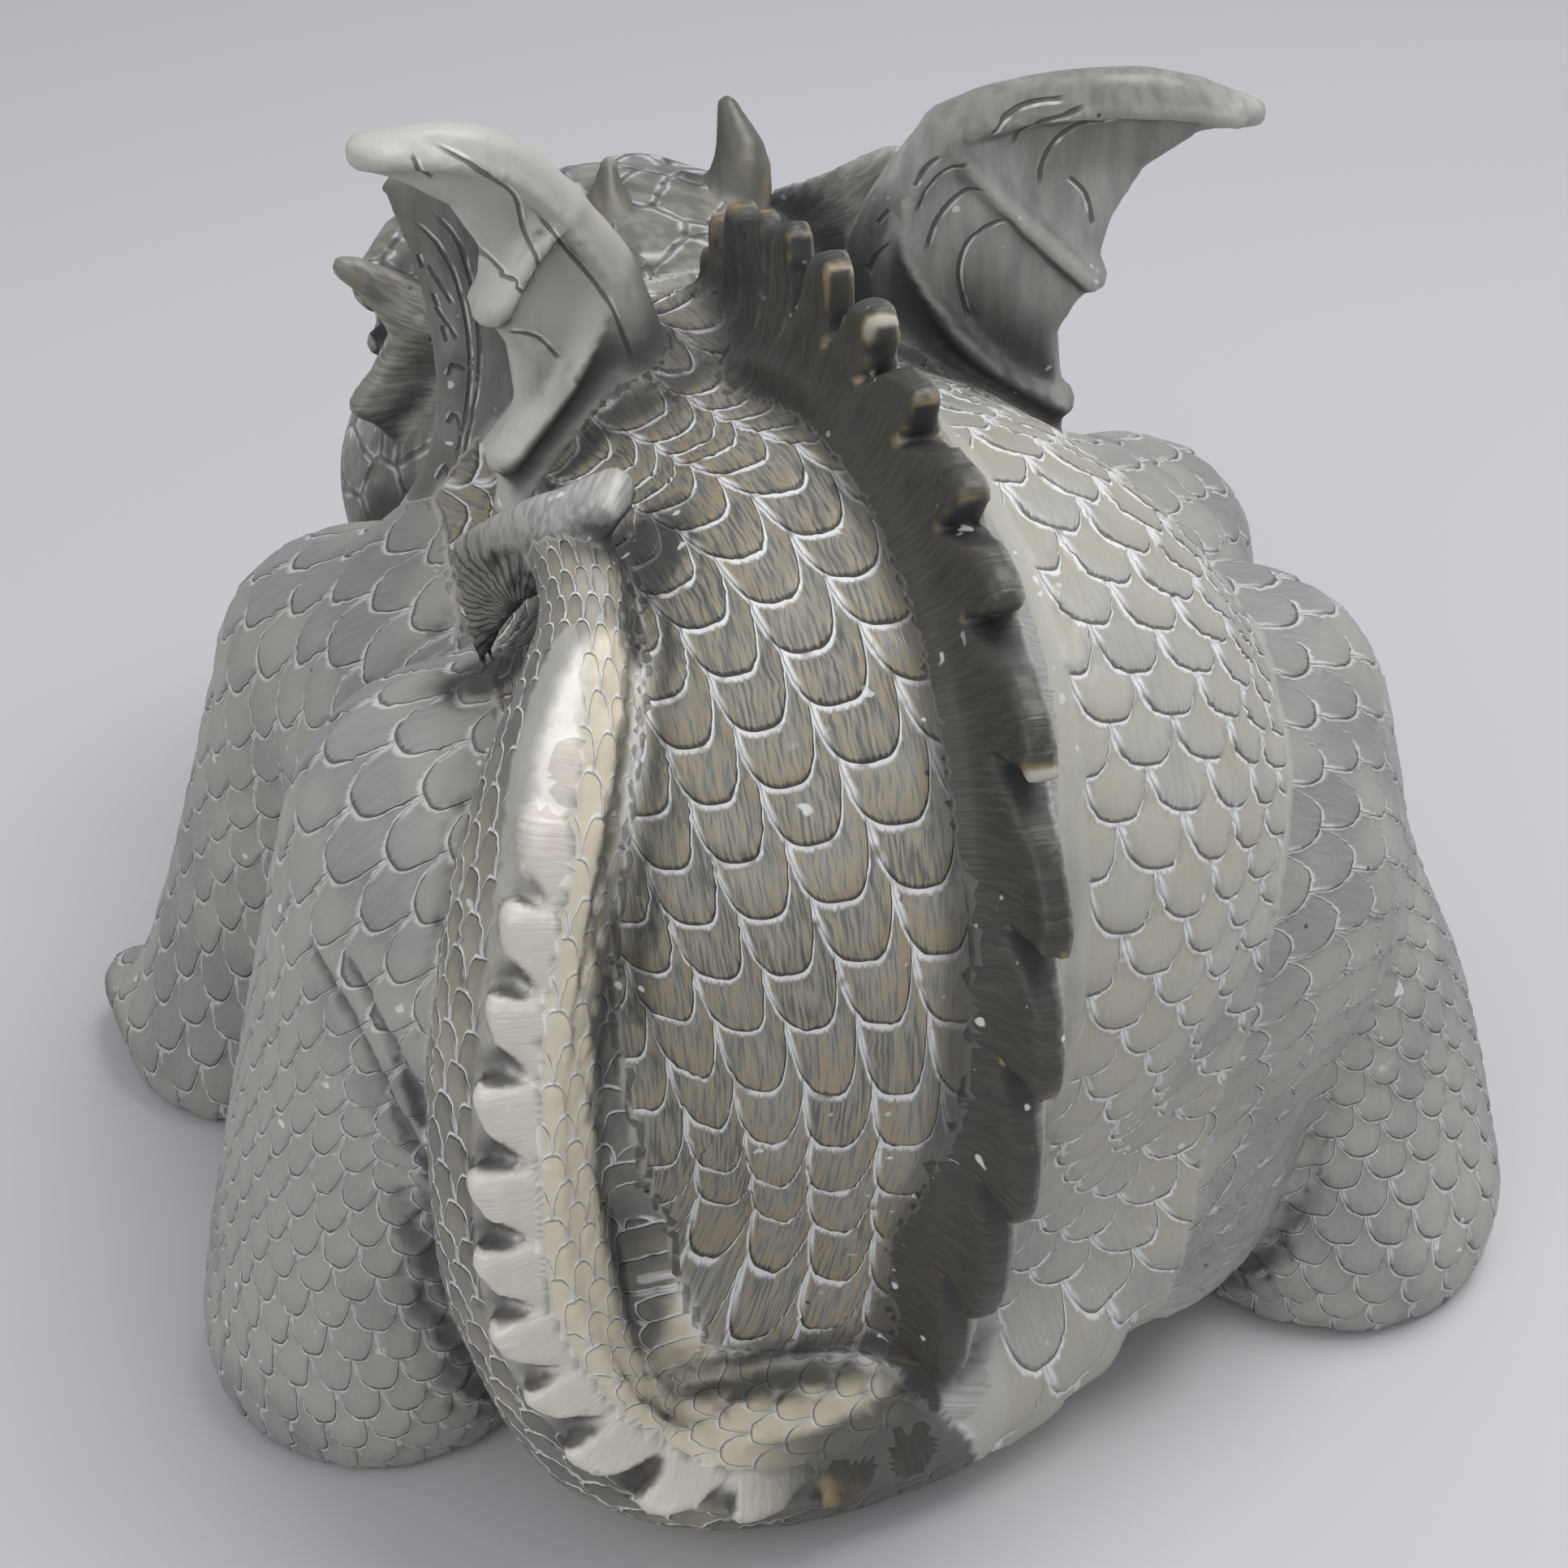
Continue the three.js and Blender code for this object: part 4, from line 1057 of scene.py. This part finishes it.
def vectors(collection, key):
    """Vectors that one of a mesh's collections holds, as rows."""
    flat = np.empty(len(collection) * 3, np.float32)
    collection.foreach_get(key, flat)
    return flat.reshape(-1, 3).astype(float)


DISTANCES = Distances(CELL)
# painted shade in the pocket by the tail and in the creases
POCKET_SHADE, CREASE_SHADE = 0.75, 0.8    # how dark the pocket by the tail and the creases are
OPEN_CLEARS = 0.85                      # how much less dark the folds beside the upper tail are


def carved_skin():
    points, faces = read_skin(DISTANCES)
    smooth_skin = points - DISTANCES.slope(points) * DISTANCES.at(points)[:, None]
    slope = DISTANCES.slope(smooth_skin)
    depth = carving(smooth_skin)
    shown = smooth(-0.2, 0.3, slope @ unit([0.2, 0.8, 0.57]))
    mesh = mesh_of("dragon skin", smooth_skin + slope * depth[:, None], faces)
    mesh.attributes.new("rest", "FLOAT_VECTOR", "POINT").data.foreach_set(
        "vector", smooth_skin.astype(np.float32).ravel())
    obj = bpy.data.objects.new("dragon_skin", mesh)
    bpy.context.collection.objects.link(obj)
    group = obj.vertex_groups.new(name="worn away first")
    levels = np.round((1 - 0.75 * shown) * 8) / 8
    for level in np.unique(levels):
        group.add(np.flatnonzero(levels == level).tolist(), float(level), "REPLACE")
    fewer = obj.modifiers.new("fewer", "DECIMATE")
    fewer.ratio = FACES / (2 * len(faces))
    fewer.use_collapse_triangulate = True
    fewer.vertex_group = group.name
    fewer.vertex_group_factor = 0.02
    evaluated = obj.evaluated_get(bpy.context.evaluated_depsgraph_get())
    final = bpy.data.meshes.new_from_object(evaluated)
    obj.modifiers.remove(fewer)
    obj.vertex_groups.clear()
    obj.data = final
    bpy.data.meshes.remove(mesh)
    return obj


def along_lines(lines, centres, corners):
    """Offset to each face's nearest cut line and share of its length passed, at the face's corners."""
    nearest = np.argmin([line.places(centres)[2] for line in lines], axis=0)
    places = np.zeros((len(corners), 3, 2))
    for number, line in enumerate(lines):
        mine = nearest == number
        for corner in range(3):
            side, share, _ = line.places(corners[mine, corner])
            places[mine, corner] = np.stack([side, share], 1)
    return places


def along_lattice(name, centres, corners):
    """Column and row at each face's corners, with no face across the lattice's seam."""
    middle, _, period = lattice(name, centres)
    places = np.zeros((len(corners), 3, 2))
    for corner in range(3):
        u, v, _ = lattice(name, corners[:, corner])
        if period:
            u = u + period * np.round((middle - u) / period)
        places[:, corner] = np.stack([u, v], 1)
    return places


def mark_skin(mesh, rest):
    """Marks for the finish, with those that only darken, the painted shade of the pocket by the tail and of
    the creases, gathered into the hollows.
    """
    normals = vectors(mesh.vertex_normals, "vector")
    marks, _ = masks_at(rest)
    dark = np.maximum(marks.pop("pocket") * POCKET_SHADE, marks.pop("crease") * CREASE_SHADE)
    # Hollows darken as painted shade over the dark patina, more the deeper and wider the fold
    marks["hollow"] = np.maximum(cavities(rest, normals) * (1 - OPEN_CLEARS * marks.pop("open")), dark)
    marks["edge"] = np.clip(1 + DISTANCES.at(rest - normals), 0, 1)
    for name, values in marks.items():
        attribute = mesh.attributes.new(name.replace(" ", "_"), "FLOAT", "POINT")
        attribute.data.foreach_set("value", values.astype(np.float32))


def lay_lattice(mesh, rest):
    """Each face's finish, and its place on the carving's lattice or by a cut line."""
    numbers = np.empty(len(mesh.loops), np.int32)
    mesh.loops.foreach_get("vertex_index", numbers)
    corners = rest[numbers.reshape(-1, 3)]
    centres = corners.mean(1)
    which, _, _ = region_of(centres)
    places = np.zeros((len(corners), 3, 2))
    for i, name in enumerate(NAMES):
        some = np.flatnonzero(which == i)
        if len(some) and name in LINES:
            places[some] = along_lines(LINES[name], centres[some], corners[some])
        elif len(some):
            places[some] = along_lattice(name, centres[some], corners[some])
    finish = np.array([FINISH[name] for name in NAMES])[which]
    mesh.polygons.foreach_set("material_index", finish.astype(np.int32))
    layer = mesh.uv_layers.new(name="lattice")
    layer.data.foreach_set("uv", places.astype(np.float32).ravel())


def finish_skin(obj):
    """What the finish reads of the skin, then the size and place of the solid."""
    mesh = obj.data
    if any(polygon.loop_total != 3 for polygon in mesh.polygons[:50]):
        raise ValueError("the skin is not in triangles")
    rest = vectors(mesh.attributes["rest"].data, "vector")
    mark_skin(mesh, rest)
    lay_lattice(mesh, rest)
    co = vectors(mesh.vertices, "co")
    low, high = co.min(0), co.max(0)
    co = LOW + (co - low) / (high - low) * (HIGH - LOW)
    mesh.vertices.foreach_set("co", co.astype(np.float32).ravel())
    mesh.attributes.remove(mesh.attributes["rest"])
    mesh.shade_smooth()
    mesh.update()


def cavities(p, normals):
    """How deep in a fold each place lies: 0 in the open, 1 in a tight fold."""
    total = np.zeros(len(p))
    for reach, weight in ((2.0, 0.75), (6.0, 0.75), (14.0, 0.4)):
        total += np.clip(1 - DISTANCES.at(p + normals * reach) / reach, 0, 1) * weight
    return np.clip(total, 0, 1)


skin = carved_skin()
finish_skin(skin)


# Shader expressions

class Shader:
    """One material's nodes: node() adds any node, and the sockets it gives are wrapped."""

    def __init__(self, name):
        self.material = bpy.data.materials.new(name)
        self.material.use_nodes = True
        self.tree = self.material.node_tree
        self.tree.nodes.clear()

    def node(self, kind, settings=None, inputs=None, output=0):
        made = self.tree.nodes.new(kind)
        for key, value in (settings or {}).items():
            setattr(made, key, value)
        for key, value in (inputs or {}).items():
            if isinstance(value, Socket):
                self.tree.links.new(value.socket, made.inputs[key])
            else:
                made.inputs[key].default_value = value
        return Socket(self, made.outputs[output], made) if made.outputs else None

    def mark(self, name):
        return self.node("ShaderNodeAttribute", {"attribute_name": name}, output="Fac")

    def mix(self, factor, a, b):
        settings = {"data_type": "RGBA", "clamp_factor": True}
        return self.node("ShaderNodeMix", settings, {0: factor, 6: a, 7: b}, output=2)

    def noise(self, vector, scale, detail, roughness=0.5):
        inputs = {"Vector": vector, "Scale": scale, "Detail": detail, "Roughness": roughness}
        return self.node("ShaderNodeTexNoise", {}, inputs)


class Socket:
    """A node's socket that takes part in sums."""

    def __init__(self, shader, socket, node):
        self.shader, self.socket, self.node = shader, socket, node

    def math(self, operation, *others):
        return self.shader.node("ShaderNodeMath", {"operation": operation}, dict(enumerate([self, *others])))

    def __add__(self, other):
        return self.math("ADD", other)

    __radd__ = __add__

    def __sub__(self, other):
        return self.math("SUBTRACT", other)

    def __rsub__(self, other):
        return self.shader.node("ShaderNodeMath", {"operation": "SUBTRACT"}, {0: other, 1: self})

    def __mul__(self, other):
        return self.math("MULTIPLY", other)

    __rmul__ = __mul__

    def __truediv__(self, other):
        return self.math("DIVIDE", other)

    def __lt__(self, other):
        return self.math("LESS_THAN", other)

    def between(self, low, high):
        """0 at low, 1 at high, smooth between."""
        inputs = {"Value": self, "From Min": low, "From Max": high}
        return self.shader.node("ShaderNodeMapRange", {"interpolation_type": "SMOOTHSTEP"}, inputs)

    def pick(self, first, second):
        """first where this is 1, second where it is 0."""
        settings = {"data_type": "FLOAT"}
        return self.shader.node("ShaderNodeMix", settings, {0: self, 2: second, 3: first})


def scale_pattern(shader, u, v, shift):
    """The carved scales again, for the finish: reach, gap above, sidewise shares and a tint for each."""
    row = v.math("FLOOR")
    reach, sides, columns = [], [], []
    for step in (-1, 0, 1):
        t = u - shift * (row + step)
        column = t.math("FLOOR")
        t = t - column - (0.5 + LOPSIDED)
        right = t.math("GREATER_THAN", 0.0)
        side = t.math("ABSOLUTE") / right.pick(0.5 - LOPSIDED, 0.5 + LOPSIDED)
        side = side * side.math("SQRT")
        down = (v - row - step).math("MAXIMUM", 0.0) / LENGTH
        reach.append((side * side + down * down).math("SQRT"))
        sides.append((side - down).between(-0.2, 0.5) * right)
        columns.append(column)
    upper, own, lower = reach
    on_upper = upper < 1.0
    on_own = own < 1.0
    out = on_upper.pick(upper, on_own.pick(own, lower))
    gap = on_upper.pick(1.0, on_own.pick(upper - 1.0, upper.math("MINIMUM", own) - 1.0))
    side = on_upper.pick(sides[0], on_own.pick(sides[1], sides[2]))
    which = on_upper.pick(columns[0], on_own.pick(columns[1], columns[2]))
    which_row = row + on_upper.pick(-1.0, on_own.pick(0.0, 1.0))
    key = shader.node("ShaderNodeCombineXYZ", {}, {0: which, 1: which_row})
    tint = shader.node("ShaderNodeTexWhiteNoise", {"noise_dimensions": "2D"}, {"Vector": key})
    return out, gap, side, tint


def colour(red, green, blue):
    """A colour given as it looks on a screen, 0 to 255."""
    def linear(value):
        value /= 255
        return value / 12.92 if value <= 0.04045 else ((value + 0.055) / 1.055) ** 2.4

    return (linear(red), linear(green), linear(blue), 1.0)


WHITE = colour(222, 223, 222)
CREAM = colour(236, 231, 222)
PALE = colour(180, 179, 172)
GREY = colour(137, 138, 135)
OLIVE = colour(110, 109, 100)
OCHRE = colour(134, 115, 76)
UMBER = colour(74, 72, 64)
# dark of the hollows and lines: partly dark patina, partly painted shade in folds and under scale edges
SOOT_AND_SHADE = colour(48, 50, 52)


class Stone(Shader):
    """Cast stone with its patina: what all the finishes share."""

    def __init__(self, name):
        super().__init__(name)
        lattice_map = self.node("ShaderNodeUVMap", {"uv_map": "lattice"})
        self.u = self.node("ShaderNodeSeparateXYZ", {}, {0: lattice_map})
        self.v = Socket(self, self.u.node.outputs[1], self.u.node)
        self.place = self.node("ShaderNodeTexCoord", output="Object")
        self.broad = self.noise(self.place, 24.0, 1.0)
        self.medium = self.noise(self.place, 190.0, 1.0)
        self.hollow = self.mark("hollow")

    def stroke(self, across, along, seed=0.0):
        """Brush strokes that run along the lattice's rows."""
        vector = self.node("ShaderNodeCombineXYZ", {}, {0: self.u * across, 1: self.v * along, 2: seed})
        return self.noise(vector, 1.0, 1.0, 0.65)

    def ground(self, stroke):
        """Grey stone with paler patches, lightened or darkened by the region's tone, which holds painted
        light and shade as well as patina.
        """
        grey = self.mix(stroke.between(0.35, 0.7), OLIVE, GREY)
        pale = self.mix(stroke.between(0.3, 0.75), GREY, PALE)
        tone = self.mark("tone")
        base = self.mix((self.broad + (tone - 0.5) * 0.4).between(0.38, 0.62), grey, pale)
        base = self.mix(tone.between(0.5, 1.2) * 0.9, base, PALE)
        return self.mix(tone.between(0.5, 0.0) * 0.75, base, UMBER)

    def finish(self, base, height, white, roughness):
        """Dark patina and painted shade in the folds, specks of lime, pinholes and the surface itself."""
        # Painted shade, together with the stone's dark patina, deepens in the folds
        base = self.mix(self.hollow.between(0.3, 1.0) * 0.85, base, SOOT_AND_SHADE)
        specks = self.medium.between(0.71, 0.75) * self.broad.between(0.5, 0.62)
        base = self.mix(specks * 0.75, base, WHITE)
        pits = self.node("ShaderNodeTexVoronoi", {}, {"Vector": self.place, "Scale": 62.0})
        pit = pits.between(0.05, 0.03) * self.broad.between(0.55, 0.48)
        base = self.mix(pit * 0.9, base, SOOT_AND_SHADE)
        height = height + (self.medium - 0.5) * 0.14
        bump = self.node("ShaderNodeBump", {}, {"Strength": 0.85, "Distance": 0.0009, "Height": height})
        rough = roughness + (self.medium - 0.5) * 0.22 + self.hollow * 0.2 + white * 0.12
        surface = self.node("ShaderNodeBsdfPrincipled", {}, {
            "Base Color": base, "Roughness": rough, "Normal": bump, "Specular IOR Level": 0.5,
        })
        self.node("ShaderNodeOutputMaterial", {}, {"Surface": surface})
        return self.material


def scaled_skin():
    shader = Stone("scaled stone skin")
    out, gap, side, tint = scale_pattern(shader, shader.u, shader.v, shader.mark("shift"))
    scales = shader.mark("scales").between(0.15, 0.6)
    back, cream, limb_mark = shader.mark("left_back"), shader.mark("cream"), shader.mark("limb")
    stroke = shader.stroke(24.0, 1.6, tint * 9.0)
    hair = (stroke - 0.5) * 0.22
    stroke = 0.5 + (stroke - 0.5) * (0.4 + 0.6 * back)
    base = shader.ground(stroke)
    dark = shader.mix(stroke.between(0.3, 0.72), colour(74, 75, 71), colour(152, 149, 138))
    base = shader.mix(back * 0.85, base, dark)
    worn = (shader.broad + tint * 0.35).between(0.5, 0.85)
    brushed = (stroke + out * 0.24).between(0.56, 0.78) * (worn * 0.55 + back * 0.45)
    base = shader.mix(brushed * 0.85, base, OCHRE)
    centre = out.between(0.9, 0.4) * shader.broad.between(0.38, 0.56) * (1.0 - back)
    base = shader.mix(centre * 0.5, base, colour(166, 156, 132))
    base = shader.mix(limb_mark * 0.35, base, colour(144, 147, 150))
    base = shader.mix(tint * 0.22, base, PALE)
    base = shader.mix(shader.mark("small_scales") * 0.8, base, colour(222, 212, 187))
    base = shader.mix(cream * 0.95, base, CREAM)
    plain = (1.0 - scales) * (1.0 - cream) * (1.0 - shader.mark("plates"))
    base = shader.mix(plain * 0.5, base, PALE)
    # Painted shadow as a dark line under each free edge, and the dry-brushed white that caught on it
    inner = 1.0 - out + hair * 0.3
    outer = gap + hair * 0.5
    shade = inner.between(0.075, 0.01) * (1.0 - side) * scales
    base = shader.mix(shade * (0.6 + 0.3 * back), base, SOOT_AND_SHADE)
    rim = inner.between(0.21, 0.09) * side
    below = outer.between(0.095, 0.03)
    white = rim.math("MAXIMUM", below) * scales * shader.medium.between(0.2, 0.42) * (1.0 - 0.4 * limb_mark)
    base = shader.mix(white * 0.92, base, WHITE)
    base = shader.mix(shader.mark("rim") * shader.medium.between(0.25, 0.5) * 0.85, base, WHITE)
    step = shader.v.math("FRACT")
    plate = shader.mark("plates")
    base = shader.mix(plate * step.between(0.86, 0.97) * 0.75, base, SOOT_AND_SHADE)
    height = (out * out * 0.5 - inner.between(0.07, 0.0) * 0.7 + rim * 0.3 + below * 0.2) * scales
    height = height + (stroke - 0.5) * 0.22
    # Fins of the crest share their painted shade, a dark fillet, with the skin beside them
    base = shader.mix(shader.mark("dark_fin") * 0.85, base, colour(64, 63, 58))
    return shader.finish(base, height, white, 0.39)


def fins():
    shader = Stone("fin stone")
    streak = shader.stroke(7.0, 1.1)
    streak = 0.5 + (streak - 0.5) * (0.45 + 0.7 * shader.mark("finger"))
    left, right, cream = shader.mark("dark_fin"), shader.mark("pale_fin"), shader.mark("cream")
    edge = shader.mark("edge")
    base = shader.mix(streak.between(0.35, 0.7), GREY, PALE)
    dark = shader.mix(streak.between(0.35, 0.8), colour(49, 48, 44), colour(84, 81, 70))
    # Painted shade: each fin's left side is laid in dark brown-grey
    base = shader.mix(left, base, dark)
    base = shader.mix(edge.between(0.25, 0.5) * (1.0 - cream) * 0.8, base, OCHRE)
    top = edge.between(0.45, 0.75)
    # Thin worn edges turn pale, and cream on the fin's right side as painted light
    base = shader.mix(top * 0.75, base, shader.mix(right, PALE, CREAM))
    base = shader.mix(cream * 0.95, base, shader.mix(streak.between(0.3, 0.8), colour(196, 188, 176), CREAM))
    brown = cream * edge.between(0.35, 0.15) * streak.between(0.4, 0.7)
    base = shader.mix(brown * 0.35, base, OCHRE)
    height = (streak - 0.5) * 0.5
    return shader.finish(base, height, top, 0.42)


def smooth_stone():
    """Ears, horns, claws and the arrowhead."""
    shader = Stone("brushed stone")
    stroke = shader.stroke(5.0, 2.2)
    edge = shader.mark("edge")
    base = shader.ground(stroke)
    base = shader.mix(stroke.between(0.5, 0.75) * shader.broad.between(0.55, 0.4) * 0.6, base, OCHRE)
    top = edge.between(0.4, 0.75)
    base = shader.mix(top * 0.5, base, PALE)
    off = (shader.u - shader.u.math("ROUND")).math("ABSOLUTE")
    wrinkle = off.between(0.22, 0.06) * shader.mark("wrinkles")
    base = shader.mix(wrinkle * 0.7, base, SOOT_AND_SHADE)
    return shader.finish(base, (stroke - 0.5) * 0.3 - wrinkle * 0.5, top, 0.4)


def wing_stone():
    """Wings, where the lattice holds the way to the nearest cut line and the share of it passed."""
    shader = Stone("wing stone")
    stretched = {0: shader.place, 1: (260, 260, 60)}
    place = shader.node("ShaderNodeVectorMath", {"operation": "MULTIPLY"}, stretched)
    brush = 0.5 + (shader.noise(place, 1.0, 2.0, 0.6) - 0.5) * 0.55
    base = shader.ground(brush)
    base = shader.mix(brush.between(0.5, 0.75) * shader.broad.between(0.56, 0.42) * 0.55, base, OCHRE)
    edge = shader.mark("edge").between(0.4, 0.75)
    rib = shader.mark("rib").between(0.25, 0.8)
    base = shader.mix(edge * 0.5, base, PALE)
    base = shader.mix(rib * 0.45, base, PALE)
    span = shader.v.between(0.0, 0.12) * shader.v.between(1.0, 0.88)
    away = shader.u.math("ABSOLUTE") + (shader.medium - 0.5) * 0.16
    cut = away.between(0.19, 0.05) * span
    lip = (shader.u + 0.26).math("ABSOLUTE").between(0.17, 0.05) * span * shader.medium.between(0.38, 0.6)
    base = shader.mix(cut * 0.7, base, SOOT_AND_SHADE)
    base = shader.mix(lip * 0.7, base, WHITE)
    height = (brush - 0.5) * 0.3 - cut * 0.7 + lip * 0.25
    return shader.finish(base, height, lip, 0.42)


def head_skin():
    """Head skin in large uneven plates."""
    shader = Stone("head stone")
    warp = shader.node("ShaderNodeCombineXYZ", {}, {0: shader.medium * 0.003, 1: shader.broad * 0.01})
    warped = shader.node("ShaderNodeVectorMath", {"operation": "ADD"}, {0: shader.place, 1: warp})
    plates = {"Vector": warped, "Scale": 54.0}
    edges = shader.node("ShaderNodeTexVoronoi", {"feature": "DISTANCE_TO_EDGE"}, plates)
    base = shader.ground(shader.medium)
    base = shader.mix(shader.medium.between(0.5, 0.7) * shader.broad.between(0.4, 0.55) * 0.4, base, OCHRE)
    crack = edges.between(0.065, 0.01)
    lip = edges.between(0.11, 0.06) * shader.medium.between(0.35, 0.6)
    base = shader.mix(lip * 0.5, base, WHITE)
    base = shader.mix(crack * 0.7, base, SOOT_AND_SHADE)
    height = lip * -0.3 - crack * 0.8
    return shader.finish(base, height, lip, 0.44)


for finish in (scaled_skin, fins, smooth_stone, wing_stone, head_skin):
    skin.data.materials.append(finish())
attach(skin, "root")
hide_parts("dragon")


# Pale studio floor, soft light from high up and the photograph's camera

FLOOR = 6.0                             # metres from its middle to each side
FOCAL, PICTURE = 3450, 1932             # focal length and width of the photograph, in its pixels
AROUND, ABOVE, AWAY = 166, 35, 230      # camera's azimuth, elevation and distance
AIM = (1.98, 12.85, 42)


def floor():
    mesh = bpy.data.meshes.new("floor")
    corners = [(x * FLOOR, y * FLOOR, 0) for x, y in ((-1, -1), (1, -1), (1, 1), (-1, 1))]
    mesh.from_pydata(corners, [], [(0, 1, 2, 3)])
    obj = bpy.data.objects.new("floor", mesh)
    bpy.context.collection.objects.link(obj)
    shader = Shader("studio paper")
    paper = {"Base Color": colour(194, 194, 196), "Roughness": 0.8}
    surface = shader.node("ShaderNodeBsdfPrincipled", {}, paper)
    shader.node("ShaderNodeOutputMaterial", {}, {"Surface": surface})
    mesh.materials.append(shader.material)


def light(name, place, aim, size, power):
    data = bpy.data.lights.new(name, "AREA")
    data.shape = "DISK"
    data.size = size
    data.energy = power
    obj = bpy.data.objects.new(name, data)
    bpy.context.collection.objects.link(obj)
    obj.location = place
    obj.rotation_euler = (Vector(aim) - Vector(place)).to_track_quat("-Z", "Y").to_euler()


def world():
    made = bpy.data.worlds.new("studio")
    made.use_nodes = True
    background = made.node_tree.nodes["Background"]
    background.inputs["Color"].default_value = (0.92, 0.94, 1.0, 1)
    background.inputs["Strength"].default_value = 0.55
    bpy.context.scene.world = made


def camera():
    data = bpy.data.cameras.new("camera")
    data.sensor_width = 36
    data.lens = FOCAL / PICTURE * data.sensor_width
    data.clip_start = 0.01
    obj = bpy.data.objects.new("camera", data)
    bpy.context.collection.objects.link(obj)
    around, above = math.radians(AROUND), math.radians(ABOVE)
    back = Vector((math.sin(around) * math.cos(above), -math.cos(around) * math.cos(above), math.sin(above)))
    obj.location = (Vector(AIM) + AWAY * back) * UNIT
    obj.rotation_euler = (-back).to_track_quat("-Z", "Y").to_euler()
    bpy.context.scene.camera = obj


bpy.context.scene.view_settings.view_transform = "Standard"
floor()
light("window", (-0.6, 0.1, 1.7), (0, 0.05, 0.12), 1.1, 19.5)
light("fill", (1.3, 1.2, 1.2), (0, 0, 0.1), 2.0, 12)
world()
camera()
